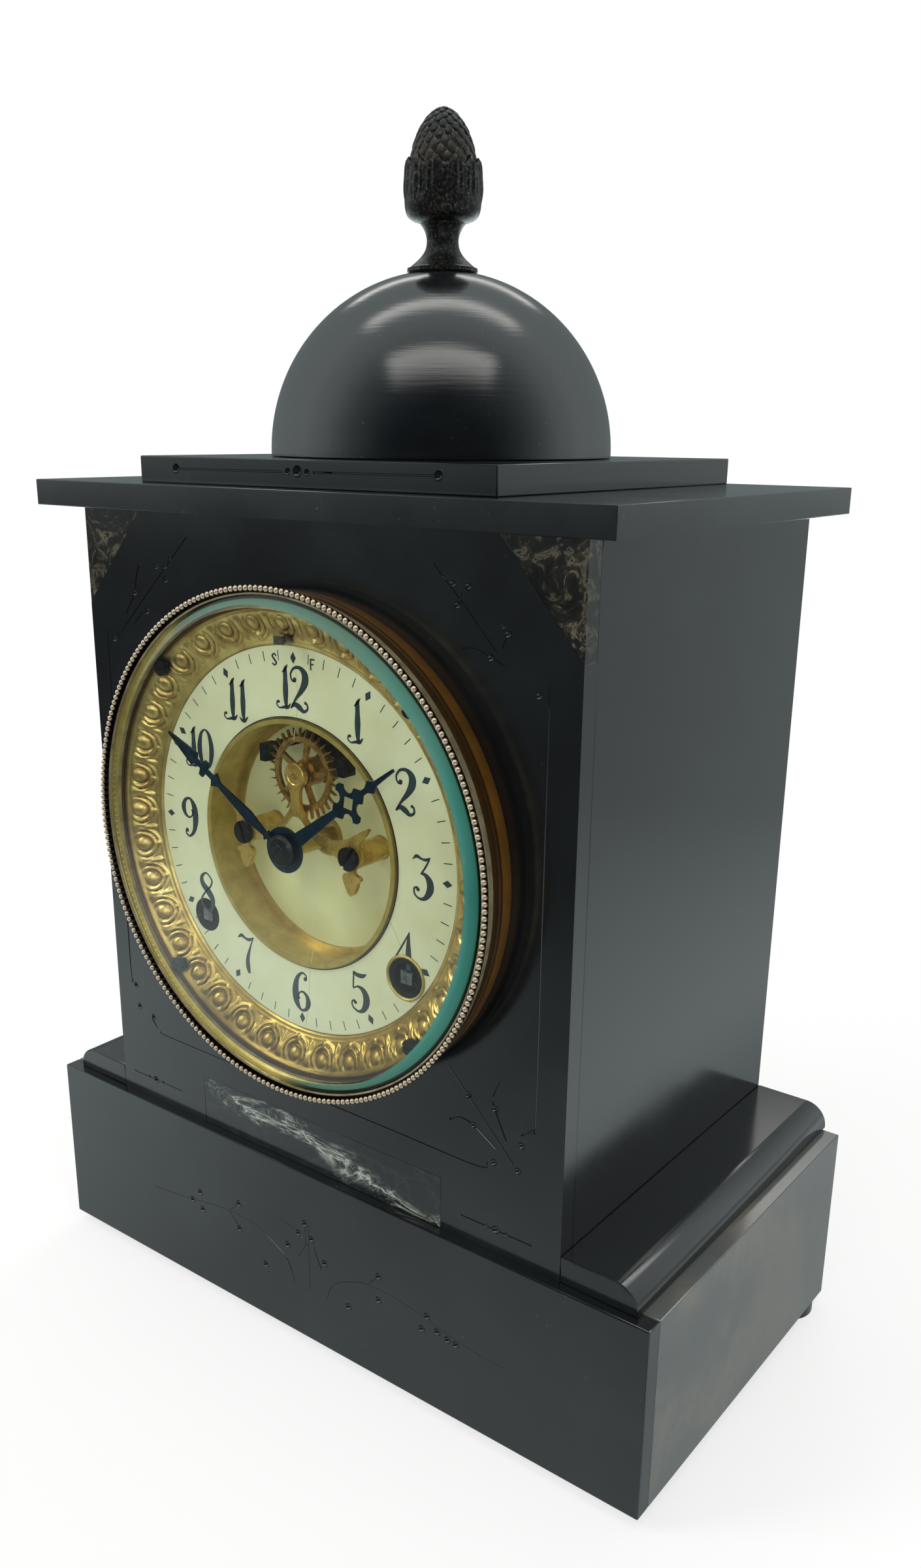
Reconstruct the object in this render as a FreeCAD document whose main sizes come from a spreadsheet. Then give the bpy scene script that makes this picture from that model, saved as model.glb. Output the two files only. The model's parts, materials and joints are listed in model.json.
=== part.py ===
import FreeCAD, Part
import math
import os

import Sketcher
from FreeCAD import Placement, Rotation, Vector

# A slate mantel clock: a slate case, a hinged glazed sash over an enamel dial with its escapement
# in an open well, and an eight-day spring movement with a coil gong.
# The frame stands on the floor: +Z is up, the dial faces -Y and +X is the viewer's right.
# "Ahead" is the distance in front of the case's face, and negative ahead is inside the case.

# Every driving size, in millimetres, angles in degrees, and counts of teeth and turns
SIZES = {
    # feet and hollow slate base
    "foot_height": 4.0,
    "foot_radius": 9.0,
    "front_foot_inset": 19.5,
    "back_foot_inset": 9.2,
    "base_depth": 131.8,
    "base_height": 62.9,
    "base_step": 3.4,
    "base_ledge": 30.8,
    "slab_front": 6.0,
    "slab_side": 9.0,
    "slab_level": 8.0,
    "well_half": 55.0,
    "well_front": 20.0,
    "well_back": 78.0,
    # body of the case
    "body_width": 187.4,
    "body_depth": 129.8,
    "body_height": 205.3,
    "dial_rise": 111.5,
    "face_bore": 64.0,
    "strip_half": 51.2,
    "strip_height": 17.5,
    "strip_thick": 3.0,
    "inlay_across": 26.7,
    "inlay_down": 30.5,
    "shoulder_inset": 5.5,
    "shoulder_height": 8.4,
    "shoulder_round": 7.5,
    # top of the case
    "cornice_width": 211.8,
    "cornice_step": 8.6,
    "cornice_depth": 138.7,
    "cornice_height": 7.8,
    "plinth_width": 132.5,
    "plinth_setback": 0.8,
    "plinth_depth": 126.3,
    "plinth_height": 7.7,
    "dome_radius": 52.0,
    "dome_rim": 1.0,
    "dome_seat": 9.5,
    "dome_crown": 51.12,
    "finial_foot": 10.5,
    "finial_foot_height": 2.3,
    "finial_neck": 4.7,
    "finial_neck_height": 8.3,
    "finial_knop": 6.6,
    "finial_knop_height": 13.4,
    "finial_bell": 8.6,
    "finial_bell_height": 14.2,
    "finial_cup": 11.8,
    "finial_cup_height": 20.1,
    "finial_tip_height": 30.0,
    "finial_cone": 9.0,
    "finial_height": 44.5,
    "finial_point": 0.6,
    "cone_sweep": 18.0,
    "stud_radius": 2.4,
    "stud_reach": 12.0,
    "stud_clearance": 0.3,
    "stud_nut": 6.0,
    "stud_nut_height": 4.0,
    # back panel and its round door
    "back_thick": 9.0,
    "back_proud": 8.0,
    "door_drop": 25.0,
    "door_bore": 57.0,
    "door_radius": 60.0,
    "door_thick": 1.5,
    "door_gap": 0.3,
    "door_pin_offset": 4.0,
    "door_pin_ahead": 2.2,
    "door_pin_radius": 1.0,
    "door_knuckle": 1.9,
    "door_knuckle_half": 6.0,
    "door_leaf": 11.0,
    "door_leaf_thick": 1.0,
    "knob_radius": 5.0,
    "knob_neck": 2.5,
    "knob_inset": 12.0,
    "knob_neck_height": 2.2,
    # drum and sash around the dial
    "sash_depth": 15.4,
    "drum_radius": 74.0,
    "drum_step": 0.5,
    "drum_ridge": 75.0,
    "ridge_back": 5.2,
    "ridge_front": 6.1,
    "ridge_slope": 0.3,
    "drum_front": 9.6,
    "drum_inside": 72.6,
    "drum_flange": 64.3,
    "flange_thick": 1.0,
    "sash_back": 9.9,
    "sash_radius": 75.2,
    "sash_lip": 71.0,
    "sash_lip_thick": 1.3,
    "sash_flange": 76.3,
    "sash_flange_back": 12.9,
    "sash_front": 13.5,
    "sash_cover": 74.0,
    "sash_cover_back": 13.0,
    "bead_circle": 75.9,
    "bead_wire": 0.95,
    "glass_radius": 74.4,
    "glass_flat": 70.3,
    "glass_back": 11.5,
    "glass_edge": 12.7,
    "glass_front": 13.9,
    "glass_fit": 0.2,
    "pin_offset": 79.2,
    "pin_ahead": 9.9,
    "pin_radius": 0.8,
    "pin_fit": 0.05,
    "knuckle_radius": 1.6,
    "knuckle_half": 3.8,
    "knuckle_end": 9.0,
    "knuckle_gap": 0.2,
    "hinge_block_back": 6.4,
    "hinge_block_front": 8.0,
    # dial
    "plate_thick": 0.8,
    "plate_radius": 72.3,
    "enamel_front": 2.7,
    "enamel_radius": 58.9,
    "enamel_bore": 38.1,
    "cove_gap": 0.3,
    "cove_sheet": 0.8,
    "cove_foot": 3.1,
    "cove_brim": 71.0,
    "cove_edge": 72.2,
    "well_radius": 37.8,
    "well_sheet": 0.8,
    "well_depth": 10.0,
    "well_lip": 1.8,
    "well_rim_width": 1.4,
    "well_rim_back": 2.5,
    "well_rim_front": 3.7,
    "disc_thick": 0.7,
    "disc_fit": 0.1,
    "disc_bore": 5.5,
    "escape_bore": 5.0,
    "screw_circle": 68.2,
    "screw_head": 2.4,
    "screw_head_back": 8.9,
    "screw_head_front": 10.5,
    "screw_shank": 1.2,
    "screw_depth": 5.0,
    "screw_fit": 0.15,
    "slot_width": 0.8,
    "slot_depth": 0.7,
    "winding_x": 41.0,
    "winding_drop": 31.4,
    "winding_hole": 5.5,
    "ferrule_lip": 6.4,
    "ferrule_bore": 4.9,
    "ferrule_height": 0.5,
    "regulator_rise": 61.3,
    "regulator_radius": 1.5,
    "regulator_front": 9.2,
    "regulator_square": 2.2,
    "regulator_neck": 7.0,
    "regulator_hole": 2.7,
    # hands
    "hour_back": 7.9,
    "hand_thick": 0.7,
    "hour_ring": 7.0,
    "hour_angle": 53.5,
    "hour_arm_root": 2.2,
    "hour_arm_tip": 1.1,
    "hour_head": 31.1,
    "hour_head_half": 6.3,
    "hour_bite_along": 3.05,
    "hour_bite_across": 3.9,
    "hour_bite": 2.0,
    "hour_window": 2.6,
    "hour_knot": 41.4,
    "hour_knot_half": 2.0,
    "hour_neck": 0.8,
    "hour_length": 51.4,
    "hour_tip": 0.45,
    "minute_back": 9.2,
    "minute_hub": 3.6,
    "minute_angle": 301.8,
    "minute_knob": 7.0,
    "minute_knob_half": 1.9,
    "minute_waist": 0.8,
    "minute_belly": 15.5,
    "minute_belly_half": 1.9,
    "minute_barb": 32.2,
    "minute_barb_half": 2.5,
    "minute_bow": 37.2,
    "minute_bow_half": 2.7,
    "minute_flare": 41.8,
    "minute_flare_half": 2.4,
    "minute_length": 54.8,
    "minute_tip": 0.3,
    "washer_radius": 4.9,
    "washer_front": 10.8,
    "arbor_front": 11.2,
    # movement frame
    "movement_front": 15.0,
    "movement_plate": 2.0,
    "movement_gap": 30.0,
    "movement_half": 71.0,
    "movement_top": 49.0,
    "movement_bottom": 58.0,
    "pillar_radius": 3.0,
    "pillar_low_x": 66.0,
    "pillar_low_z": 52.0,
    "pillar_high_x": 62.0,
    "pillar_high_z": 42.0,
    "pillar_nut": 4.5,
    "pillar_nut_height": 3.0,
    "post_place": 42.0,
    "arbor_radius": 1.0,
    "arbor_fit": 0.06,
    # wheels: the module is the pitch diameter over the number of teeth
    "great_module": 0.8,
    "great_teeth": 70.0,
    "second_module": 0.6,
    "second_teeth": 60.0,
    "centre_module": 0.5,
    "centre_teeth": 72.0,
    "third_teeth": 60.0,
    "fourth_teeth": 65.0,
    "pinion_leaves": 12.0,
    "cannon_module": 0.6,
    "minute_wheel_teeth": 36.0,
    "hour_module": 0.48,
    "hour_teeth": 48.0,
    "wheel_thick": 1.2,
    "great_thick": 2.4,
    "tooth_play": 0.06,
    "great_level": 19.0,
    "second_level": 41.5,
    "centre_level": 25.0,
    "third_level": 30.5,
    "fourth_level": 36.0,
    "pinion_margin": 0.6,
    "cannon_level": 13.4,
    "cannon_radius": 2.1,
    "cannon_fit": 0.1,
    "hour_level": 11.4,
    "hour_pipe": 3.0,
    "winding_radius": 2.6,
    "winding_square": 4.2,
    "winding_front": 2.4,
    "winding_square_length": 8.0,
    "core_radius": 4.6,
    "ratchet_radius": 9.0,
    "ratchet_teeth": 18.0,
    "ratchet_thick": 1.4,
    "spring_back": 40.0,
    "spring_front": 24.0,
    "spring_inside": 6.0,
    "spring_strip": 1.1,
    "spring_pitch": 2.4,
    "spring_half_turns": 14.0,
    "strike_angle": 80.0,
    "warning_angle": 60.0,
    "fly_angle": 110.0,
    "fly_half": 11.0,
    "fly_front": 20.0,
    "fly_back": 29.0,
    "fly_thick": 0.8,
    "pin_circle": 16.2,
    "pin_count": 8.0,
    "pin_length": 3.0,
    # escapement
    "escape_rise": 21.3,
    "escape_radius": 13.6,
    "escape_root": 11.1,
    "escape_rim": 9.4,
    "escape_teeth": 32.0,
    "escape_lean": 0.28,
    "escape_spokes": 5.0,
    "spoke_half": 0.8,
    "escape_hub": 3.4,
    "escape_back": -0.9,
    "collet_radius": 4.1,
    "collet_length": 5.0,
    "anchor_rise": 31.5,
    "anchor_back": -4.4,
    "anchor_thick": 1.4,
    "anchor_reach": 15.4,
    "anchor_drop": 3.4,
    "anchor_waist": 2.0,
    "anchor_boss": 2.6,
    "pallet_width": 2.6,
    "pallet_length": 6.6,
    "pallet_front": 0.7,
    "pallet_clear": 0.75,
    "crutch_length": 30.0,
    "crutch_half": 1.6,
    "crutch_thick": 1.2,
    "crutch_gap": 0.8,
    "fork_radius": 0.8,
    "fork_gap": 0.3,
    "cock_back": 2.1,
    "cock_thick": 1.5,
    "cock_boss": 3.85,
    "cock_boss_front": 3.8,
    "cock_boss_back": 1.6,
    "cock_jewel": 1.3,
    "cock_screw_x": 21.2,
    "cock_screw_z": 0.5,
    "cock_pillar": 3.6,
    "cock_head": 3.6,
    "cock_head_front": 5.0,
    # pendulum
    "cock_plate_half": 8.0,
    "cock_plate_thick": 2.0,
    "cock_block_back": 62.0,
    "cock_block_low": 36.5,
    "cock_block_high": 43.0,
    "cock_top": 66.0,
    "cock_slot_half": 0.9,
    "suspension_half": 3.0,
    "suspension_thick": 0.3,
    "suspension_top": 40.0,
    "suspension_foot": 26.0,
    "rod_ahead": 57.0,
    "rod_radius": 1.2,
    "pendulum_length": 119.0,
    "bob_radius": 20.0,
    "bob_thick": 9.0,
    "bob_rim": 2.4,
    "rating_nut": 3.0,
    "rating_nut_height": 3.0,
    "bob_fit": 0.1,
    # strike hammer and gong
    "gong_level": 80.0,
    "gong_wire": 1.1,
    "gong_drop": 60.0,
    "gong_inside": 9.0,
    "gong_pitch": 6.0,
    "gong_half_turns": 12.0,
    "gong_run": 4.0,
    "gong_boss_half": 3.0,
    "gong_boss_height": 5.0,
    "gong_post_front": 86.0,
    "gong_post_back": 92.0,
    "gong_block_half": 20.0,
    "gong_block_front": 82.0,
    "gong_block_back": 104.0,
    "gong_block_height": 10.0,
    "hammer_gap": 1.2,
    "hammer_head": 6.5,
    "hammer_head_length": 9.0,
    "hammer_rise": 12.0,
    "hammer_drop": 66.0,
    "hammer_wire": 1.4,
    "hammer_tail": 3.6,
    "hammer_tail_half": 1.2,
    "hammer_arbor": 1.5,
}

# Shares: chosen by hand, each of the size beside it in the code
cock_stem_share = 0.52
cock_split_share = 0.62
horn_reach_shares = (1.28, 1.40)
horn_rise_shares = (0.30, 0.42)
leaf_drop_shares = (0.16, 0.30, 0.60)
leaf_half_shares = (0.04, 0.15, 0.10)
crossing_share = 0.84
hub_share = 0.30
addendum_share = 0.8
dedendum_share = 1.05
nut_round_share = 0.8
bow_round_share = 0.45

OVERRUN = 1.0
PRESSURE_ANGLE = 25.0
FLANK_STEPS = 2
HEX_SIDES = 6
HALF_TURN = 180.0
FULL_TURN = 360.0
TINY = 1e-7

doc = FreeCAD.newDocument("mantel_clock")
sheet = doc.addObject("Spreadsheet::Sheet", "Sheet")
for row, (alias, value) in enumerate(SIZES.items(), 1):
    sheet.set(f"A{row}", alias)
    sheet.set(f"B{row}", str(value))
    sheet.setAlias(f"B{row}", alias)
doc.recompute()


class Size(float):
    """A size that remembers the cells it is worked out from."""

    def __new__(cls, value, text):
        size = super().__new__(cls, value)
        size.text = text
        return size

    def __add__(self, other):
        return Size(float(self) + float(other), f"({self.text} + {text_of(other)})")

    def __radd__(self, other):
        return Size(float(other) + float(self), f"({text_of(other)} + {self.text})")

    def __sub__(self, other):
        return Size(float(self) - float(other), f"({self.text} - {text_of(other)})")

    def __rsub__(self, other):
        return Size(float(other) - float(self), f"({text_of(other)} - {self.text})")

    def __mul__(self, other):
        return Size(float(self) * float(other), f"({self.text} * {text_of(other)})")

    def __rmul__(self, other):
        return Size(float(other) * float(self), f"({text_of(other)} * {self.text})")

    def __truediv__(self, other):
        return Size(float(self) / float(other), f"({self.text} / {text_of(other)})")

    def __neg__(self):
        return Size(-float(self), f"(-{self.text})")


def text_of(value):
    """The expression of a size, or the plain number of anything else."""
    return value.text if isinstance(value, Size) else repr(float(value))


class Named:
    """The sheet's sizes, read by name."""


s = Named()
for alias in SIZES:
    setattr(s, alias, Size(sheet.get(alias), f"Sheet.{alias}"))

pieces = {}


def piece(node, thing):
    """Name a finished sub-part, and remember it for the export."""
    thing.Label = node
    pieces[node] = thing
    return thing


def place(thing, x, y, z):
    """Tie an object's place to the sizes that it follows."""
    for axis, value in zip("xyz", (x, y, z)):
        thing.setExpression(f"Placement.Base.{axis}", text_of(value))


def pin(sketch, geometry, end, x, y):
    """Hold a point of a sketch at x and y from its origin."""
    for kind, axis, value in (("DistanceX", -2, x), ("DistanceY", -1, y)):
        if abs(value) < TINY:
            sketch.addConstraint(Sketcher.Constraint("PointOnObject", geometry, end, axis))
            continue
        spot = (-1, 1, geometry, end) if value > 0 else (geometry, end, -1, 1)
        index = sketch.addConstraint(Sketcher.Constraint(kind, *spot, abs(float(value))))
        sketch.setExpression(f"Constraints[{index}]", text_of(value if value > 0 else -value))


def arc_between(start, end, radius):
    """The arc from start to end; a positive radius turns left."""
    middle = (start + end) * 0.5
    chord = end - start
    rise = math.sqrt(max(radius * radius - chord.Length**2 / 4, 0))
    side = Vector(-chord.y, chord.x, 0).normalize() * math.copysign(rise, radius)
    centre = middle + side
    first, last = (start, end) if radius > 0 else (end, start)
    angles = [math.atan2(spot.y - centre.y, spot.x - centre.x) for spot in (first, last)]
    circle = Part.Circle(centre, Vector(0, 0, 1), abs(float(radius)))
    return Part.ArcOfCircle(circle, *angles)


def trace(sketch, path):
    """Draw a closed outline of corners (x, y), or (x, y, radius) where an arc leads on."""
    edges = []
    for here, there in zip(path, path[1:] + path[:1]):
        start, end = Vector(here[0], here[1], 0), Vector(there[0], there[1], 0)
        if len(here) == 2:
            geometry = sketch.addGeometry(Part.LineSegment(start, end), False)
            edges.append((geometry, 1, 2))
            continue
        radius = here[2]
        geometry = sketch.addGeometry(arc_between(start, end, radius), False)
        edges.append((geometry, 1, 2) if radius > 0 else (geometry, 2, 1))
        index = sketch.addConstraint(Sketcher.Constraint("Radius", geometry, abs(float(radius))))
        sketch.setExpression(f"Constraints[{index}]", text_of(radius if radius > 0 else -radius))
    for (geometry, _, finish), (following, begin, _) in zip(edges, edges[1:] + edges[:1]):
        ends = (geometry, finish, following, begin)
        sketch.addConstraint(Sketcher.Constraint("Coincident", *ends))
    for (geometry, begin, _), corner in zip(edges, path):
        pin(sketch, geometry, begin, corner[0], corner[1])


def ring_holes(sketch, holes):
    """Draw circles (x, y, radius) in a sketch."""
    for x, y, radius in holes:
        circle = Part.Circle(Vector(x, y, 0), Vector(0, 0, 1), float(radius))
        geometry = sketch.addGeometry(circle, False)
        index = sketch.addConstraint(Sketcher.Constraint("Radius", geometry, float(radius)))
        sketch.setExpression(f"Constraints[{index}]", text_of(radius))
        pin(sketch, geometry, 3, x, y)


def sketch_on(body, plane, name):
    """A new sketch on one of a body's own planes."""
    sketch = body.newObject("Sketcher::SketchObject", name)
    origin = next(face for face in body.Origin.OriginFeatures if face.Role == plane)
    sketch.AttachmentSupport = [(origin, "")]
    sketch.MapMode = "FlatFace"
    return sketch


def plate(node, outline, holes, back, thick, x=0.0, z=0.0):
    """A flat plate parallel to the case's face; its outline is a path or a radius."""
    body = doc.addObject("PartDesign::Body", f"{node}_body")
    sketch = sketch_on(body, "XZ_Plane", f"{node}_outline")
    if isinstance(outline, list):
        trace(sketch, outline)
    else:
        ring_holes(sketch, [(0.0, 0.0, outline)])
    ring_holes(sketch, holes)
    pad = body.newObject("PartDesign::Pad", f"{node}_pad")
    pad.Profile = sketch
    pad.setExpression("Length", text_of(thick))
    place(body, x, face_y - back, z)
    return body


def turned(node, profile, x=0.0, z=None):
    """A part turned about a line square to the dial, from a profile of (radius, ahead)."""
    body = doc.addObject("PartDesign::Body", f"{node}_body")
    sketch = sketch_on(body, "XY_Plane", f"{node}_profile")
    trace(sketch, [(corner[0], -corner[1], *corner[2:]) for corner in profile])
    turn = body.newObject("PartDesign::Revolution", f"{node}_turn")
    turn.Profile = sketch
    turn.ReferenceAxis = (sketch, ["V_Axis"])
    turn.Angle = FULL_TURN
    place(body, x, face_y, dial_z if z is None else z)
    return body


def turned_upright(node, profile, x, y, z):
    """A part turned about an upright line, from a profile of (radius, height)."""
    body = doc.addObject("PartDesign::Body", f"{node}_body")
    sketch = sketch_on(body, "XZ_Plane", f"{node}_profile")
    trace(sketch, profile)
    turn = body.newObject("PartDesign::Revolution", f"{node}_turn")
    turn.Profile = sketch
    turn.ReferenceAxis = (sketch, ["V_Axis"])
    turn.Angle = FULL_TURN
    place(body, x, y, z)
    return body


def block(name, x, y, z):
    """A rectangular solid between the two values given on each axis."""
    box = doc.addObject("Part::Box", name)
    for axis, side, (low, high) in zip("xyz", ("Length", "Width", "Height"), (x, y, z)):
        box.setExpression(side, text_of(high - low))
        box.setExpression(f"Placement.Base.{axis}", text_of(low))
    return box


def bar(name, radius, back, front, x, z):
    """A round bar square to the dial, between two distances ahead of the face."""
    cylinder = doc.addObject("Part::Cylinder", name)
    cylinder.Placement = Placement(Vector(), Rotation(Vector(1, 0, 0), HALF_TURN / 2))
    cylinder.setExpression("Radius", text_of(radius))
    cylinder.setExpression("Height", text_of(front - back))
    place(cylinder, x, face_y - back, z)
    return cylinder


def upright(name, radius, x, y, low, high):
    """A round bar standing upright."""
    cylinder = doc.addObject("Part::Cylinder", name)
    cylinder.setExpression("Radius", text_of(radius))
    cylinder.setExpression("Height", text_of(high - low))
    place(cylinder, x, y, low)
    return cylinder


def square_bar(name, width, back, front, x, z):
    """A square bar, on edge as a winding square stands, square to the dial."""
    half = width / 2
    return block(name, (x - half, x + half), (face_y - front, face_y - back), (z - half, z + half))


def fuse(name, things):
    """Several solids made one."""
    joined = doc.addObject("Part::MultiFuse", name)
    joined.Shapes = things
    joined.Refine = True
    return joined


def cut(name, base, tools):
    """A solid less its tools."""
    tool = tools[0] if len(tools) == 1 else fuse(f"{name}_tools", tools)
    result = doc.addObject("Part::Cut", name)
    result.Base = base
    result.Tool = tool
    return result


def group(name, things):
    """Separate solids that share one node."""
    together = doc.addObject("Part::Compound", name)
    together.Links = things
    return together


def formed(name, shape):
    """A piece whose outline comes from a formula."""
    feature = doc.addObject("Part::Feature", name)
    feature.Shape = shape
    return feature


# Places that everything is set out from
total_depth = s.sash_depth + s.body_depth + s.back_proud
face_y = s.sash_depth - total_depth / 2
base_top = s.foot_height + s.base_height
body_top = base_top + s.body_height
cornice_top = body_top + s.cornice_height
plinth_top = cornice_top + s.plinth_height
dial_z = base_top + s.dial_rise
body_back = face_y + s.body_depth
plate_front = s.flange_thick + s.plate_thick


# Slate base
def make_base():
    half = s.body_width / 2 + s.base_ledge
    inner = half - s.slab_side
    front = face_y - s.base_step
    back = front + s.base_depth
    lift = (s.foot_height, base_top)
    inside_y = (front + s.slab_front, back - s.slab_side)

    panel = block("base_front", (-half, half), (front, inside_y[0]), lift)
    piece("base_front_panel", panel)
    sides = [
        block("base_left", (-half, -inner), (inside_y[0], back), lift),
        block("base_right", (inner, half), (inside_y[0], back), lift),
    ]
    piece("base_side_panels", group("base_sides", sides))
    rail = block("base_rail", (-inner, inner), (inside_y[1], back), lift)
    piece("base_back_rail", rail)

    floor_z = (s.foot_height, s.foot_height + s.slab_level)
    floor = block("base_floor", (-inner, inner), inside_y, floor_z)
    roof_z = (base_top - s.slab_level, base_top)
    roof = block("base_roof", (-inner, inner), inside_y, roof_z)
    well = block(
        "base_well",
        (-s.well_half, s.well_half),
        (face_y + s.well_front, face_y + s.well_back),
        (roof_z[0] - OVERRUN, roof_z[1] + OVERRUN),
    )
    roof = cut("base_roof_open", roof, [well])
    piece("base_slabs", group("base_levels", [floor, roof]))

    feet = []
    for name, side in (("left", -1), ("right", 1)):
        for end, inset, y in (
            ("front", s.front_foot_inset, front + s.front_foot_inset),
            ("back", s.back_foot_inset, back - s.back_foot_inset),
        ):
            x = (half - inset) * side
            feet.append(upright(f"foot_{end}_{name}", s.foot_radius, x, y, 0.0, s.foot_height))
    piece("feet", group("feet_group", feet))


# Slate body: front panel with its inlays, sides and back panel
def make_body():
    half = s.body_width / 2
    inner = half - s.slab_side
    inside_y = face_y + s.slab_front
    inlay_x = half - s.inlay_across
    inlay_z = body_top - s.inlay_down
    outline = [
        (-half, base_top),
        (half, base_top),
        (half, inlay_z),
        (inlay_x, body_top),
        (-inlay_x, body_top),
        (-half, inlay_z),
    ]
    holes = [(0.0, dial_z, s.face_bore)]
    for x, z in screw_places():
        holes.append((x, dial_z + z, s.screw_shank + s.screw_fit))
    slab = plate("body_front", outline, holes, -s.slab_front, s.slab_front)
    strip_y = (face_y, face_y + s.strip_thick)
    strip_z = (base_top, base_top + s.strip_height)
    strip = block("strip_block", (-s.strip_half, s.strip_half), strip_y, strip_z)
    recess = block(
        "strip_recess",
        (-s.strip_half, s.strip_half),
        (face_y - OVERRUN, strip_y[1]),
        (base_top - OVERRUN, strip_z[1]),
    )
    piece("body_front_panel", cut("body_front_cut", slab, [recess]))
    piece("marble_strip", strip)

    corners = []
    for name, side in (("left", -1), ("right", 1)):
        triangle = [
            (half * side, inlay_z),
            (half * side, body_top),
            (inlay_x * side, body_top),
        ]
        name = f"inlay_{name}"
        corners.append(plate(name, triangle, [], -s.slab_front, s.slab_front))
    piece("corner_inlays", group("inlays", corners))

    lift = (base_top, body_top)
    sides = [
        block("body_left", (-half, -inner), (inside_y, body_back), lift),
        block("body_right", (inner, half), (inside_y, body_back), lift),
    ]
    piece("body_side_panels", group("body_sides", sides))

    shoulders = []
    for name, side in (("left", -1), ("right", 1)):
        shoulders.append(shoulder(name, side, half))
    piece("shoulder_mouldings", group("shoulders", shoulders))

    back_outline = [
        (-inner, base_top),
        (inner, base_top),
        (inner, body_top),
        (-inner, body_top),
    ]
    door_hole = [(0.0, dial_z - s.door_drop, s.door_bore)]
    back = plate("body_back", back_outline, door_hole, -s.body_depth, s.back_thick)
    piece("body_back_panel", back)


def shoulder(name, side, half):
    """A moulding beside the body, with its top outer edge rounded to a quarter circle."""
    outer = (s.body_width / 2 + s.base_ledge - s.shoulder_inset) * side
    top = base_top + s.shoulder_height
    spring = top - s.shoulder_round
    flat = outer - s.shoulder_round * side
    path = [
        (half * side, base_top),
        (outer, base_top),
        (outer, spring, s.shoulder_round * side),
        (flat, top),
        (half * side, top),
    ]
    return plate(f"shoulder_{name}", path, [], -s.body_depth, s.body_depth)


# Cornice, plinth, dome and finial
def make_top():
    cornice_front = face_y - s.cornice_step
    cornice_y = (cornice_front, cornice_front + s.cornice_depth)
    half = s.cornice_width / 2
    plinth_front = face_y + s.plinth_setback
    plinth_y = (plinth_front, plinth_front + s.plinth_depth)
    plinth_half = s.plinth_width / 2
    centre_y = plinth_front + s.plinth_depth / 2
    bore = s.stud_radius + s.stud_clearance

    cornice = block("cornice_block", (-half, half), cornice_y, (body_top, cornice_top))
    plinth_x = (-plinth_half, plinth_half)
    plinth = block("plinth_block", plinth_x, plinth_y, (cornice_top, plinth_top))
    low, high = body_top - OVERRUN, plinth_top + OVERRUN
    for node, slab in (("cornice_slab", cornice), ("top_plinth_slab", plinth)):
        drill = upright(f"{node}_drill", bore, 0.0, centre_y, low, high)
        piece(node, cut(f"{node}_cut", slab, [drill]))

    crown = s.dome_rim + s.dome_crown
    dome_profile = [
        (bore, 0.0),
        (s.dome_radius, 0.0),
        (s.dome_radius, s.dome_rim, s.dome_radius),
        (s.dome_seat, crown),
        (bore, crown),
    ]
    piece("dome", turned_upright("dome", dome_profile, 0.0, centre_y, plinth_top))

    finial_z = plinth_top + crown
    finial_profile = [
        (s.stud_radius, 0.0),
        (s.finial_foot, 0.0),
        (s.finial_foot, s.finial_foot_height),
        (s.finial_neck, s.finial_neck_height),
        (s.finial_knop, s.finial_knop_height),
        (s.finial_bell, s.finial_bell_height),
        (s.finial_cup, s.finial_cup_height),
        (s.finial_cup, s.finial_tip_height),
        (s.finial_cone, s.finial_tip_height, s.cone_sweep),
        (s.finial_point, s.finial_height),
        (0.0, s.finial_height),
        (0.0, s.stud_reach),
        (s.stud_radius, s.stud_reach),
    ]
    piece("finial", turned_upright("finial", finial_profile, 0.0, centre_y, finial_z))

    rod = upright(
        "stud_rod",
        s.stud_radius,
        0.0,
        centre_y,
        body_top - s.stud_nut_height - OVERRUN,
        finial_z + s.stud_reach,
    )
    nut_low = body_top - s.stud_nut_height
    nut = upright("stud_nut_body", s.stud_nut, 0.0, centre_y, nut_low, body_top)
    piece("finial_stud", fuse("stud", [rod, nut]))


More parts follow.
